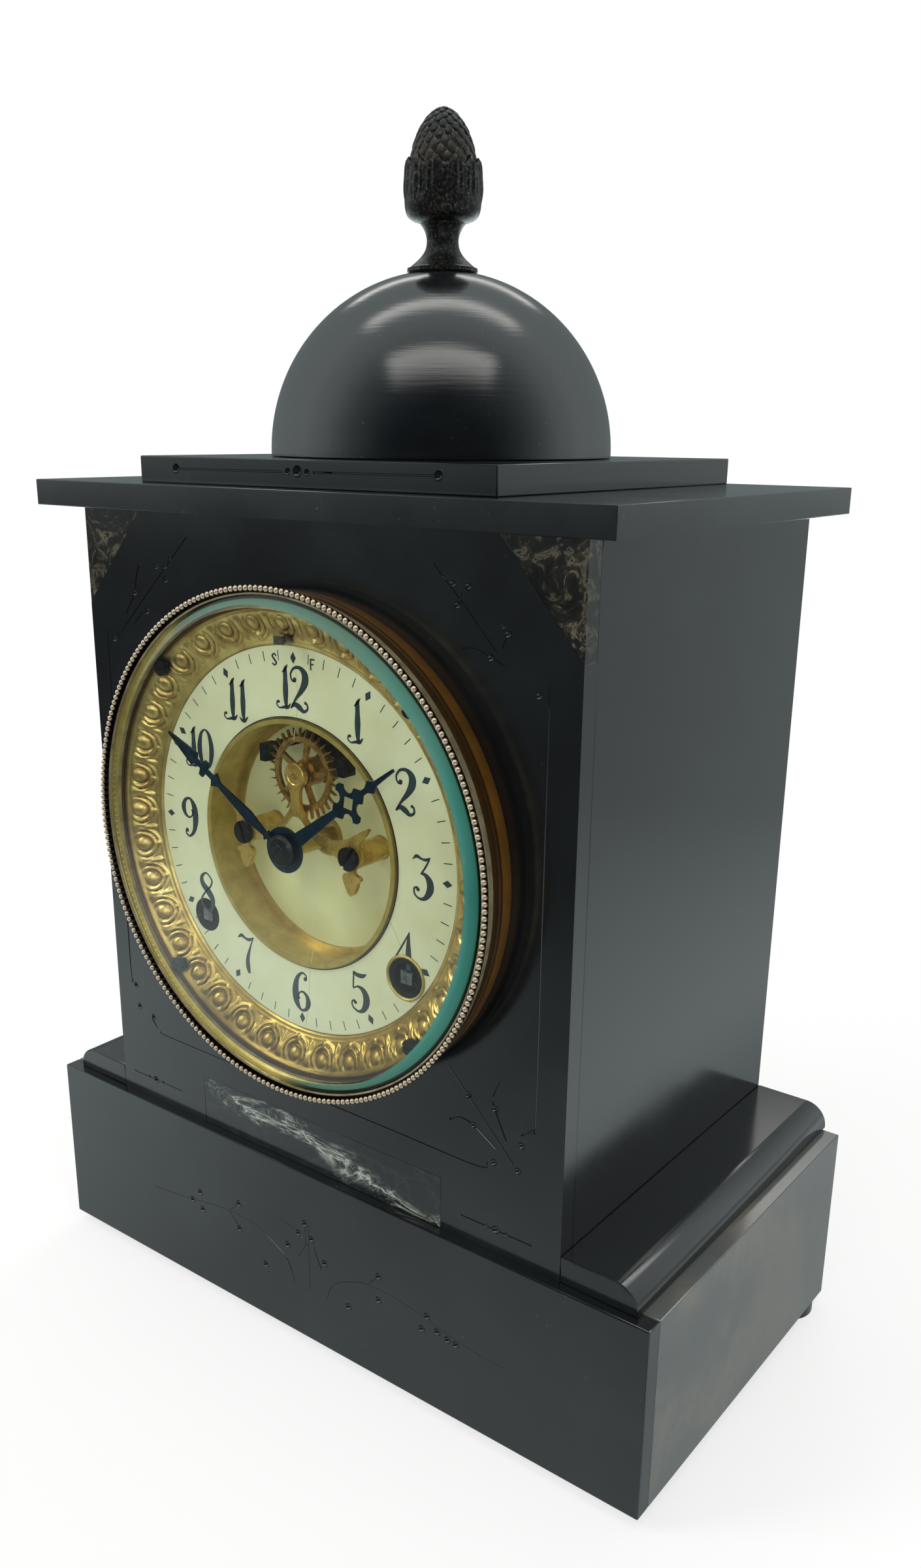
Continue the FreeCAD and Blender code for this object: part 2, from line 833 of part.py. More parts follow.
# Back door with its knob, and the hinge on the back panel
def make_back_door():
    door_z = dial_z - s.door_drop
    skin_back = -(s.body_depth + s.door_gap + s.door_thick)
    pin_x = s.door_radius + s.door_pin_offset
    pin_y = body_back + s.door_pin_ahead
    knuckle_z = (door_z - s.door_knuckle_half, door_z + s.door_knuckle_half)
    skin = plate("door_skin", s.door_radius, [], skin_back, s.door_thick, 0.0, door_z)
    skin_y = (body_back + s.door_gap, body_back + s.door_gap + s.door_thick)
    tab = block("door_tab", (s.door_radius - s.knob_inset, pin_x), skin_y, knuckle_z)
    knuckle = upright("door_barrel", s.door_knuckle, pin_x, pin_y, *knuckle_z)
    knob_x = s.knob_inset - s.door_radius
    neck_back = skin_back - s.knob_neck_height
    knob_back = -(s.body_depth + s.back_proud)
    neck = bar("knob_neck", s.knob_neck, neck_back, skin_back, knob_x, door_z)
    head = bar("knob_head", s.knob_radius, knob_back, neck_back, knob_x, door_z)
    door = fuse("door_solid", [skin, tab, knuckle, neck, head])
    bore = s.door_pin_radius + s.pin_fit
    low, high = knuckle_z[0] - OVERRUN, knuckle_z[1] + OVERRUN
    drill = upright("door_drill", bore, pin_x, pin_y, low, high)
    piece("back_door", cut("door_cut", door, [drill]))

    gap = s.knuckle_gap
    length = s.door_knuckle_half
    pin_low, pin_high = knuckle_z[0] - gap - length, knuckle_z[1] + gap + length
    pin_bar = upright("door_pin", s.door_pin_radius, pin_x, pin_y, pin_low, pin_high)
    leaf_y = (body_back, body_back + s.door_leaf_thick)
    leaf_x = (pin_x + s.door_knuckle + gap, pin_x + s.door_leaf)
    leaf = block("door_leaf_plate", leaf_x, leaf_y, (pin_low, pin_high))
    solids = [pin_bar, leaf]
    for name, low, high in (
        ("low", pin_low, knuckle_z[0] - gap),
        ("high", knuckle_z[1] + gap, pin_high),
    ):
        solids.append(upright(f"leaf_barrel_{name}", s.door_knuckle, pin_x, pin_y, low, high))
        arm_y = (body_back, pin_y)
        solids.append(block(f"leaf_arm_{name}", (pin_x, leaf_x[0] + gap), arm_y, (low, high)))
    piece("back_door_hinge", fuse("door_hinge", solids))


# Drum, sash, glass and the sash's hinge
def make_drum_and_sash():
    stepped = s.drum_radius + s.drum_step
    drum_profile = [
        (s.drum_flange, 0.0),
        (s.drum_radius, 0.0),
        (s.drum_radius, s.ridge_back),
        (s.drum_ridge, s.ridge_back + s.ridge_slope),
        (s.drum_ridge, s.ridge_front),
        (stepped, s.ridge_front + s.ridge_slope),
        (stepped, s.drum_front),
        (s.drum_inside, s.drum_front),
        (s.drum_inside, s.flange_thick),
        (s.drum_flange, s.flange_thick),
    ]
    drum = turned("drum", drum_profile)
    drills = []
    for count, (x, z) in enumerate(screw_places()):
        radius = s.screw_shank + s.screw_fit
        depth = s.flange_thick + OVERRUN
        drills.append(bar(f"drum_drill_{count}", radius, -OVERRUN, depth, x, dial_z + z))
    piece("dial_drum", cut("drum_cut", drum, drills))

    lip_front = s.sash_back + s.sash_lip_thick
    sash_profile = [
        (s.sash_lip, s.sash_back),
        (s.sash_radius, s.sash_back),
        (s.sash_radius, s.sash_flange_back),
        (s.sash_flange, s.sash_flange_back),
        (s.sash_flange, s.sash_front),
        (s.sash_cover, s.sash_front),
        (s.sash_cover, s.sash_cover_back),
        (s.glass_radius + s.glass_fit, s.sash_cover_back),
        (s.glass_radius + s.glass_fit, lip_front),
        (s.sash_lip, lip_front),
    ]
    ring = turned("sash", sash_profile)
    pin_y = face_y - s.pin_ahead
    knuckle_z = (dial_z - s.knuckle_half, dial_z + s.knuckle_half)
    barrel = upright("sash_barrel", s.knuckle_radius, -s.pin_offset, pin_y, *knuckle_z)
    arm_y = (pin_y - s.knuckle_radius, pin_y)
    arm = block("sash_arm", (-s.pin_offset, -(s.sash_radius - s.pin_radius)), arm_y, knuckle_z)
    low, high = knuckle_z[0] - OVERRUN, knuckle_z[1] + OVERRUN
    bore = s.pin_radius + s.pin_fit
    drill = upright("sash_drill", bore, -s.pin_offset, pin_y, low, high)
    sash = fuse("sash_solid", [ring, barrel, arm])
    piece("sash_ring", cut("sash_cut", sash, [drill]))

    beads = doc.addObject("Part::Torus", "bead_torus")
    beads.Placement = Placement(Vector(), Rotation(Vector(1, 0, 0), HALF_TURN / 2))
    beads.setExpression("Radius1", text_of(s.bead_circle))
    beads.setExpression("Radius2", text_of(s.bead_wire))
    place(beads, 0.0, face_y - s.sash_front - s.bead_wire, dial_z)
    piece("bead_ring", beads)

    glass_profile = [
        (0.0, s.glass_back),
        (s.glass_radius, s.glass_back),
        (s.glass_radius, s.glass_edge),
        (s.glass_flat, s.glass_front),
        (0.0, s.glass_front),
    ]
    piece("sash_glass", turned("glass", glass_profile))

    solids = []
    pin_low, pin_high = dial_z - s.knuckle_end, dial_z + s.knuckle_end
    solids.append(upright("sash_pin", s.pin_radius, -s.pin_offset, pin_y, pin_low, pin_high))
    for name, low, high in (
        ("low", pin_low, knuckle_z[0] - s.knuckle_gap),
        ("high", knuckle_z[1] + s.knuckle_gap, pin_high),
    ):
        barrel = upright(f"ear_{name}", s.knuckle_radius, -s.pin_offset, pin_y, low, high)
        ear_y = (face_y - s.pin_ahead, face_y - s.hinge_block_back)
        ear_x = (-(s.pin_offset + s.pin_radius), -(s.pin_offset - s.knuckle_radius))
        solids += [barrel, block(f"ear_block_{name}", ear_x, ear_y, (low, high))]
    web_y = (face_y - s.hinge_block_front, face_y - s.hinge_block_back)
    web_x = (-(s.pin_offset + s.pin_radius), -s.drum_radius)
    solids.append(block("hinge_web", web_x, web_y, (pin_low, pin_high)))
    bore_front = s.drum_front + OVERRUN
    hollow = bar("hinge_hollow", s.drum_radius + s.drum_step, 0.0, bore_front, 0.0, dial_z)
    sweep = bar("hinge_sweep", s.drum_ridge, 0.0, s.ridge_front + s.ridge_slope, 0.0, dial_z)
    piece("sash_hinge", cut("hinge_cut", fuse("hinge_solid", solids), [hollow, sweep]))


def screw_places():
    """The four dial screws, at the half hours between the quarters."""
    spot = s.screw_circle * math.sqrt(0.5)
    return [(spot, spot), (-spot, spot), (-spot, -spot), (spot, -spot)]


# Dial: backing plate, enamel ring, embossed cove, brass well and centre disc
def make_dial():
    winding_z = dial_z - s.winding_drop
    winding = [(-s.winding_x, winding_z), (s.winding_x, winding_z)]

    through = (-s.well_depth, s.sash_depth)
    screw_hole = s.screw_shank + s.screw_fit
    holes = [(0.0, 0.0, s.well_radius + s.disc_fit)]
    for x, z in winding:
        holes.append((x, z - dial_z, s.winding_hole))
    for x, z in screw_places():
        holes.append((x, z, screw_hole))
    holes.append((0.0, s.regulator_rise, s.regulator_radius + s.screw_fit))
    backing = plate("dial_back", s.plate_radius, holes, s.flange_thick, s.plate_thick, 0.0, dial_z)
    piece("dial_plate", backing)

    thick = s.enamel_front - plate_front
    ring_cuts = [(0.0, 0.0, s.enamel_bore)]
    ring_cuts += [(x, z - dial_z, s.winding_hole) for x, z in winding]
    enamel = plate("enamel", s.enamel_radius, ring_cuts, plate_front, thick, 0.0, dial_z)
    piece("enamel_chapter_ring", enamel)

    inside = s.enamel_radius + s.cove_gap
    sheet_top = s.drum_front - s.cove_sheet
    cove_profile = [
        (inside, plate_front),
        (inside, s.cove_foot),
        (s.cove_brim, s.drum_front),
        (s.cove_edge, s.drum_front),
        (s.cove_edge, plate_front),
        (s.cove_edge - s.cove_sheet, plate_front),
        (s.cove_edge - s.cove_sheet, sheet_top),
        (inside + s.cove_sheet, s.cove_foot - s.cove_sheet),
        (inside + s.cove_sheet, plate_front),
    ]
    cove = turned("cove", cove_profile)
    tools = [
        bar(f"cove_drill_{count}", screw_hole, *through, x, dial_z + z)
        for count, (x, z) in enumerate(screw_places())
    ]
    seat_radius = s.screw_head + s.screw_fit
    tools += [
        bar(f"cove_seat_{count}", seat_radius, s.screw_head_back, s.sash_depth, x, dial_z + z)
        for count, (x, z) in enumerate(screw_places())
    ]
    regulator_z = dial_z + s.regulator_rise
    tools.append(bar("cove_regulator", s.regulator_hole, *through, 0.0, regulator_z))
    piece("embossed_ring", cut("cove_cut", cove, tools))

    inner = s.well_radius - s.well_sheet
    floor = -s.well_depth
    well_profile = [
        (s.well_radius, floor - s.disc_thick),
        (s.well_radius, s.well_rim_front),
        (s.well_radius - s.well_rim_width, s.well_rim_front),
        (s.well_radius - s.well_rim_width, s.well_rim_back),
        (inner, s.well_rim_back),
        (inner, floor + s.well_sheet),
        (inner - s.well_lip, floor + s.well_sheet),
        (inner - s.well_lip, floor),
        (inner, floor),
        (inner, floor - s.disc_thick),
    ]
    piece("recess_wall", turned("well_wall", well_profile))

    pillar_hole = s.cock_pillar + s.disc_fit
    holes = [
        (0.0, 0.0, s.disc_bore),
        (0.0, s.escape_rise, s.escape_bore),
        (-s.cock_screw_x, s.cock_screw_z, pillar_hole),
        (s.cock_screw_x, s.cock_screw_z, pillar_hole),
        (0.0, s.anchor_rise, s.arbor_radius + s.disc_fit),
    ]
    disc_radius = inner - s.disc_fit
    disc_back = floor - s.disc_thick
    disc = plate("disc", disc_radius, holes, disc_back, s.disc_thick, 0.0, dial_z)
    piece("centre_disc", disc)

    screws = []
    for count, (x, z) in enumerate(screw_places()):
        name = f"dial_screw_{count}"
        spot = (x, dial_z + z)
        screws.append(slotted_screw(name, s.screw_head, s.screw_head_back, s.screw_head_front,
                                    s.screw_shank, -s.screw_depth, spot))
    piece("dial_screws", group("dial_screw_group", screws))

    ferrule_profile = [
        (s.ferrule_bore, plate_front),
        (s.winding_hole - s.disc_fit, plate_front),
        (s.winding_hole - s.disc_fit, s.enamel_front),
        (s.ferrule_lip, s.enamel_front),
        (s.ferrule_lip, s.enamel_front + s.ferrule_height),
        (s.ferrule_bore, s.enamel_front + s.ferrule_height),
    ]
    piece("winding_ferrule", turned("ferrule", ferrule_profile, s.winding_x, winding_z))


def slotted_screw(name, head, head_back, head_front, shank, tip, spot):
    """A round-headed screw with a slot across its head."""
    x, z = spot
    crown = bar(f"{name}_head", head, head_back, head_front, x, z)
    body = bar(f"{name}_shank", shank, tip, head_back, x, z)
    whole = fuse(f"{name}_solid", [crown, body])
    slot = block(
        f"{name}_slot",
        (x - head - OVERRUN, x + head + OVERRUN),
        (face_y - head_front - OVERRUN, face_y - head_front + s.slot_depth),
        (z - s.slot_width / 2, z + s.slot_width / 2),
    )
    return cut(name, whole, [slot])


# Hands, drawn upright at twelve o'clock about the dial's centre
def make_hands():
    head, across = s.hour_head, s.hour_head_half
    knot, knot_half = s.hour_knot, s.hour_knot_half
    right = [
        (s.hour_arm_root, 0.0),
        (s.hour_arm_root, s.hour_ring),
        (s.hour_arm_tip, head - across),
        (across, head - s.hour_tip),
        (across, head + s.hour_tip),
        (s.hour_neck, head + across),
        (s.hour_neck, knot - knot_half),
        (knot_half, knot),
        (s.hour_neck, knot + knot_half),
        (s.hour_tip, s.hour_length),
    ]
    left = [(-x, z) for x, z in reversed(right)]
    blade = plate("hour_blade", right + left, [], s.hour_back, s.hand_thick, 0.0, dial_z)
    rest = (s.hour_back, s.hour_back + s.hand_thick)
    ring = bar("hour_ring_disc", s.hour_ring, *rest, 0.0, dial_z)
    # the ornament's four bites and its pierced window
    window = [
        (s.hour_window, head),
        (0.0, head + s.hour_window),
        (-s.hour_window, head),
        (0.0, head - s.hour_window),
    ]
    past = (s.hour_back - OVERRUN, s.hand_thick + OVERRUN * 2)
    tools = [plate("hour_window_tool", window, [], *past, 0.0, dial_z)]
    bites = []
    for across_sign in (-1, 1):
        for along_sign in (-1, 1):
            x = s.hour_bite_across * across_sign
            z = head + s.hour_bite_along * along_sign
            name = f"hour_bite_{across_sign + 1}_{along_sign + 1}"
            bites.append(plate(name, s.hour_bite, [], *past, x, dial_z + z))
    head_solid = cut("hour_blade_open", blade, tools + bites)
    hand = fuse("hour_hand_solid", [head_solid, ring])
    hub = bar("hour_hand_bore", s.hour_pipe + s.pin_fit, past[0], past[0] + past[1], 0.0, dial_z)
    hand = cut("hour_hand_cut", hand, [hub])
    piece("hour_hand", turned_hand("hour_hand", hand, s.hour_angle))

    belly, barb = s.minute_belly, s.minute_barb
    bow, flare = s.minute_bow, s.minute_flare
    waist = s.minute_waist
    knob = s.minute_knob
    right = [
        (waist, 0.0),
        (waist, knob - waist),
        (s.minute_knob_half, knob),
        (waist, knob + waist),
        (s.minute_belly_half, belly),
        (waist, barb - s.minute_barb_half),
        (s.minute_barb_half, barb),
        (waist, barb + waist),
        (waist, bow - s.minute_bow_half * bow_round_share),
        (s.minute_bow_half, bow - waist),
        (s.minute_bow_half, bow + waist),
        (waist, bow + s.minute_bow_half * bow_round_share),
        (waist, flare - waist),
        (s.minute_flare_half, flare),
        (s.minute_tip, s.minute_length),
    ]
    left = [(-x, z) for x, z in reversed(right)]
    blade = plate("minute_blade", right + left, [], s.minute_back, s.hand_thick, 0.0, dial_z)
    rest = (s.minute_back, s.minute_back + s.hand_thick)
    hub = bar("minute_hub_disc", s.minute_hub, *rest, 0.0, dial_z)
    hand = fuse("minute_hand_solid", [blade, hub])
    past = (s.minute_back - OVERRUN, s.minute_back + s.hand_thick + OVERRUN)
    bore = bar("minute_hand_bore", s.arbor_radius + s.pin_fit, *past, 0.0, dial_z)
    hand = cut("minute_hand_cut", hand, [bore])
    piece("minute_hand", turned_hand("minute_hand", hand, s.minute_angle))

    seat = s.minute_back + s.hand_thick
    washer_profile = [
        (s.arbor_radius + s.pin_fit, seat),
        (s.washer_radius, seat),
        (s.washer_radius * nut_round_share, s.washer_front),
        (s.arbor_radius + s.pin_fit, s.washer_front),
    ]
    piece("hand_washer", turned("washer", washer_profile))


def turned_hand(name, hand, angle):
    """The hand, swung about the dial's centre to the time that it shows."""
    holder = doc.addObject("Part::Compound", f"{name}_set")
    holder.Links = [hand]
    # a turn about the dial's own axis, which lies dial_z up
    holder.Placement = Placement(
        Vector(), Rotation(Vector(0, 1, 0), float(angle)), Vector(0, 0, float(dial_z))
    )
    return holder


# Movement: plates, pillars, wheels and winding arbors, about the dial's centre
def tooth_outline(teeth, module, turn):
    """The corners of a wheel with involute flanks; turn is one tooth's angle."""
    pressure = math.radians(PRESSURE_ANGLE)
    pitch_radius = teeth * module / 2
    base_radius = pitch_radius * math.cos(pressure)
    tip_radius = pitch_radius + addendum_share * module
    root_radius = pitch_radius - dedendum_share * module
    lowest = max(base_radius, root_radius)
    involute = math.tan(pressure) - pressure
    half = (math.pi * module / 2 - s.tooth_play) / 2 / pitch_radius
    flank = []
    for step in range(FLANK_STEPS + 1):
        radius = lowest + (tip_radius - lowest) * step / FLANK_STEPS
        slope = math.acos(min(1.0, base_radius / radius))
        flank.append((radius, half + involute - (math.tan(slope) - slope)))
    if root_radius < base_radius:
        flank.insert(0, (root_radius, flank[0][1]))
    corners = []
    for tooth in range(int(teeth)):
        middle = turn + 2 * math.pi * tooth / teeth
        corners += [(radius, middle - angle) for radius, angle in flank]
        corners += [(radius, middle + angle) for radius, angle in reversed(flank)]
    return [Vector(r * math.cos(a), 0, r * math.sin(a)) for r, a in corners]


def closed_face(corners, holes=()):
    """A flat face from a closed outline, with other outlines as its holes."""
    wires = [Part.makePolygon(outline + [outline[0]]) for outline in (corners, *holes)]
    return Part.makeFace(wires, "Part::FaceMakerBullseye")


def sector_hole(inner, outer, middle, half_width, spokes):
    """One window between two spokes of a wheel, as a closed outline."""
    steps = 6
    reach = math.pi / spokes
    corners = []
    for radius, order in ((outer, 1), (inner, -1)):
        gap = reach - math.asin(min(0.9, half_width / radius))
        turns = [middle + gap * (2 * step / steps - 1) for step in range(steps + 1)]
        corners += [(radius, angle) for angle in turns[::order]]
    return [Vector(r * math.cos(a), 0, r * math.sin(a)) for r, a in corners]


def wheel_solid(teeth, module, level, thick, turn, crossed=True):
    """A toothed wheel; level is how far its front lies behind the case's face."""
    holes = []
    radius = float(teeth * module / 2)
    if crossed:
        spokes = int(s.escape_spokes)
        inner, outer = radius * hub_share, radius * crossing_share
        for count in range(spokes):
            middle = 2 * math.pi * (count + 0.5) / spokes
            holes.append(sector_hole(inner, outer, middle, float(s.spoke_half), spokes))
    face = closed_face(tooth_outline(float(teeth), float(module), turn), holes)
    solid = face.extrude(Vector(0, float(thick), 0))
    solid.translate(Vector(0, float(level), 0))
    return solid


def round_solid(radius, front, back):
    """A round bar about the wheel's own axis, from front to back behind the case's face."""
    start = Vector(0, float(front), 0)
    return Part.makeCylinder(float(radius), float(back - front), start, Vector(0, 1, 0))


def set_wheel(node, solids, spot):
    """Fuse the parts of a wheel on its arbor and set it at its place."""
    shape = solids[0].fuse(solids[1:]) if len(solids) > 1 else solids[0]
    feature = formed(f"{node}_wheel", shape)
    place(feature, spot[0], face_y, dial_z + spot[1])
    return piece(node, feature)


def heading(start, end):
    """The direction from one arbor to another."""
    return math.atan2(end[1] - start[1], end[0] - start[0])


def polar(start, distance, degrees):
    """The arbor at a distance and a direction from another."""
    angle = math.radians(float(degrees))
    return (start[0] + distance * math.cos(angle), start[1] + distance * math.sin(angle))


def meshing(first, last, first_reach, last_reach, side):
    """The arbor at the two given distances from two others, left or right of their line."""
    span = math.hypot(last[0] - first[0], last[1] - first[1])
    along = (first_reach**2 - last_reach**2 + span**2) / (2 * span)
    off = math.sqrt(first_reach**2 - along**2) * side
    across = ((last[0] - first[0]) / span, (last[1] - first[1]) / span)
    x = first[0] + along * across[0] - off * across[1]
    z = first[1] + along * across[1] + off * across[0]
    return (x, z)


def in_mesh(turn, teeth, other_teeth, line):
    """One tooth's angle on a wheel that meshes with another, whose tooth angle is turn."""
    return line + math.pi - (turn - line) * teeth / other_teeth - math.pi / other_teeth


def pitch(teeth, module):
    return float(teeth * module / 2)


leaves = s.pinion_leaves
centre = (0.0, 0.0)
escape_spot = (0.0, s.escape_rise)
anchor_spot = (0.0, s.anchor_rise)
time_winding = (s.winding_x, -s.winding_drop)
strike_winding = (-s.winding_x, -s.winding_drop)

great_reach = pitch(s.great_teeth + leaves, s.great_module)
second_reach = pitch(s.second_teeth + leaves, s.second_module)
centre_reach = pitch(s.centre_teeth + leaves, s.centre_module)
third_reach = pitch(s.third_teeth + leaves, s.centre_module)
fourth_reach = pitch(s.fourth_teeth + leaves, s.centre_module)
cannon_reach = pitch(s.minute_wheel_teeth + leaves, s.cannon_module)

second_spot = meshing(time_winding, centre, great_reach, second_reach, 1)
third_spot = (centre_reach, 0.0)
fourth_spot = meshing(third_spot, escape_spot, third_reach, fourth_reach, -1)
minute_wheel_spot = (0.0, -cannon_reach)
pin_spot = polar(strike_winding, great_reach, s.strike_angle)
warning_spot = polar(pin_spot, second_reach, s.warning_angle)
fly_spot = polar(warning_spot, third_reach, s.fly_angle)
gong_outside = s.gong_inside + s.gong_pitch * s.gong_half_turns / 2
hammer_x = -(gong_outside + s.gong_wire + s.hammer_gap + s.hammer_head)
hammer_spot = (hammer_x, s.hammer_rise)

plate_back = s.movement_front + s.movement_plate
far_plate = plate_back + s.movement_gap
far_back = far_plate + s.movement_plate


def pillar_places():
    low_x, low_z = s.pillar_low_x, -s.pillar_low_z
    high_x, high_z = s.pillar_high_x, s.pillar_high_z
    return [(low_x, low_z), (-low_x, low_z), (-high_x, high_z), (high_x, high_z)]


def make_frame():
    half = s.movement_half
    outline = [
        (-half, -s.movement_bottom),
        (half, -s.movement_bottom),
        (half, s.movement_top),
        (-half, s.movement_top),
    ]
    small = s.arbor_radius + s.arbor_fit
    arbors = [centre, escape_spot, anchor_spot, second_spot, third_spot, fourth_spot]
    arbors += [pin_spot, warning_spot, fly_spot]
    holes = [(x, z, small) for x, z in arbors]
    winding_hole = s.winding_radius + s.arbor_fit
    holes += [(*time_winding, winding_hole), (*strike_winding, winding_hole)]
    holes += [(*hammer_spot, s.hammer_arbor + s.arbor_fit)]
    place_up = (0.0, dial_z)
    front_holes = holes + [(*minute_wheel_spot, small)]
    thick = s.movement_plate
    front = plate("front_plate", outline, front_holes, -plate_back, thick, *place_up)
    piece("front_plate", front)
    piece("back_plate", plate("back_plate", outline, holes, -far_back, thick, *place_up))

    pillars = []
    for count, (x, z) in enumerate(pillar_places()):
        rise = dial_z + z
        pillars.append(bar(f"pillar_{count}", s.pillar_radius, -far_plate, -plate_back, x, rise))
        nut_back = -far_back - s.pillar_nut_height
        pillars.append(bar(f"pillar_nut_{count}", s.pillar_nut, nut_back, -far_back, x, rise))
    spot = s.post_place
    for count, (x, z) in enumerate(((spot, spot), (-spot, spot), (-spot, -spot), (spot, -spot))):
        name = f"post_{count}"
        reach = (-s.movement_front, s.flange_thick)
        pillars.append(bar(name, s.pillar_radius, *reach, x, dial_z + z))
    piece("movement_pillars", group("pillar_group", pillars))


def pinion_solid(module, level, thick, turn):
    """A pinion a little longer than the wheel that drives it."""
    margin = s.pinion_margin
    return wheel_solid(leaves, module, level - margin, thick + margin * 2, turn, False)


def make_time_train():
    # the tooth angles start at the centre wheel and pass from mesh to mesh
    thick = s.wheel_thick
    arbor = s.arbor_radius
    centre_turn = 0.0
    second_turn = in_mesh(centre_turn, leaves, s.second_teeth, heading(centre, second_spot))
    second_leaf = second_turn
    line = heading(second_spot, time_winding)
    great_turn = in_mesh(second_leaf, leaves, s.great_teeth, line)
    line = heading(centre, third_spot)
    third_leaf = in_mesh(centre_turn, s.centre_teeth, leaves, line)
    line = heading(third_spot, fourth_spot)
    fourth_leaf = in_mesh(third_leaf, s.third_teeth, leaves, line)
    line = heading(fourth_spot, escape_spot)
    escape_leaf = in_mesh(fourth_leaf, s.fourth_teeth, leaves, line)
    line = heading(centre, minute_wheel_spot)
    minute_turn = in_mesh(centre_turn, leaves, s.minute_wheel_teeth, line)
    back_line = heading(minute_wheel_spot, centre)
    hour_turn = in_mesh(minute_turn, leaves, s.hour_teeth, back_line)

    # the centre arbor carries its wheel, its pinion and the cannon that drives the hands
    cannon_front = -s.minute_back
    solids = [
        round_solid(arbor, -s.arbor_front, far_back),
        wheel_solid(s.centre_teeth, s.centre_module, s.centre_level, thick, centre_turn),
        pinion_solid(s.second_module, s.second_level, thick, centre_turn),
        round_solid(s.cannon_radius, cannon_front, s.cannon_level + thick),
        wheel_solid(leaves, s.cannon_module, s.cannon_level, thick, centre_turn, False),
    ]
    set_wheel("centre_wheel", solids, centre)

    solids = [
        wheel_solid(s.hour_teeth, s.hour_module, s.hour_level, thick, hour_turn, False),
        round_solid(s.hour_pipe, -s.hour_back - s.hand_thick, s.hour_level + thick),
    ]
    hollow = round_solid(s.cannon_radius + s.cannon_fit, -s.sash_depth, s.movement_front)
    shape = solids[0].fuse(solids[1]).cut(hollow)
    set_wheel("hour_wheel", [shape], centre)

    cannon_back = s.cannon_level + thick
    solids = [
        wheel_solid(s.minute_wheel_teeth, s.cannon_module, s.cannon_level, thick, minute_turn),
        round_solid(arbor, s.hour_level - s.pinion_margin, plate_back),
        wheel_solid(leaves, s.hour_module, s.hour_level, cannon_back - s.hour_level,
                    minute_turn, False),
    ]
    set_wheel("minute_wheel", solids, minute_wheel_spot)

    # the great wheel rides loose on its winding arbor
    great = wheel_solid(
        s.great_teeth, s.great_module, s.great_level, s.great_thick, great_turn
    ).cut(round_solid(s.winding_radius + s.arbor_fit, s.movement_front, far_back))
    set_wheel("time_great_wheel", [great], time_winding)

    trains = (
        ("second_wheel", second_spot, s.second_teeth, s.second_module, s.second_level,
         second_turn, s.great_module, s.great_level, s.great_thick, second_leaf),
        ("third_wheel", third_spot, s.third_teeth, s.centre_module, s.third_level,
         third_leaf, s.centre_module, s.centre_level, thick, third_leaf),
        ("fourth_wheel", fourth_spot, s.fourth_teeth, s.centre_module, s.fourth_level,
         fourth_leaf, s.centre_module, s.third_level, thick, fourth_leaf),
    )
    for node, spot, teeth, module, level, turn, leaf_module, leaf_level, leaf_thick, leaf in trains:
        solids = [
            round_solid(arbor, s.movement_front, far_back),
            wheel_solid(teeth, module, level, thick, turn),
            pinion_solid(leaf_module, leaf_level, leaf_thick, leaf),
        ]
        set_wheel(node, solids, spot)

    solids = [
        escape_solid(),
        round_solid(s.escape_hub, -s.escape_back - thick, -s.escape_back),
        round_solid(s.collet_radius, -s.escape_back, -s.escape_back + s.collet_length),
        round_solid(arbor, -s.cock_boss_front, far_back),
        pinion_solid(s.centre_module, s.fourth_level, thick, escape_leaf),
    ]
    set_wheel("escape_wheel", solids, escape_spot)


def escape_solid():
    """The escape wheel: pointed, leaning teeth and crossed-out spokes."""
    teeth = int(s.escape_teeth)
    step = 2 * math.pi / teeth
    corners = []
    for tooth in range(teeth):
        start = step * tooth
        corners.append((float(s.escape_root), start - step / 4))
        corners.append((float(s.escape_root), start + step / 4))
        corners.append((float(s.escape_radius), start + step * float(s.escape_lean)))
        corners.append((float(s.escape_root), start + step / 2))
    outline = [Vector(r * math.cos(a), 0, r * math.sin(a)) for r, a in corners]
    spokes = int(s.escape_spokes)
    holes = []
    for count in range(spokes):
        middle = 2 * math.pi * (count + 0.5) / spokes + step / 2
        rim, hub = float(s.escape_rim), float(s.escape_hub)
        holes.append(sector_hole(hub, rim, middle, float(s.spoke_half), spokes))
    solid = closed_face(outline, holes).extrude(Vector(0, float(s.wheel_thick), 0))
    solid.translate(Vector(0, float(-s.escape_back - s.wheel_thick), 0))
    return solid


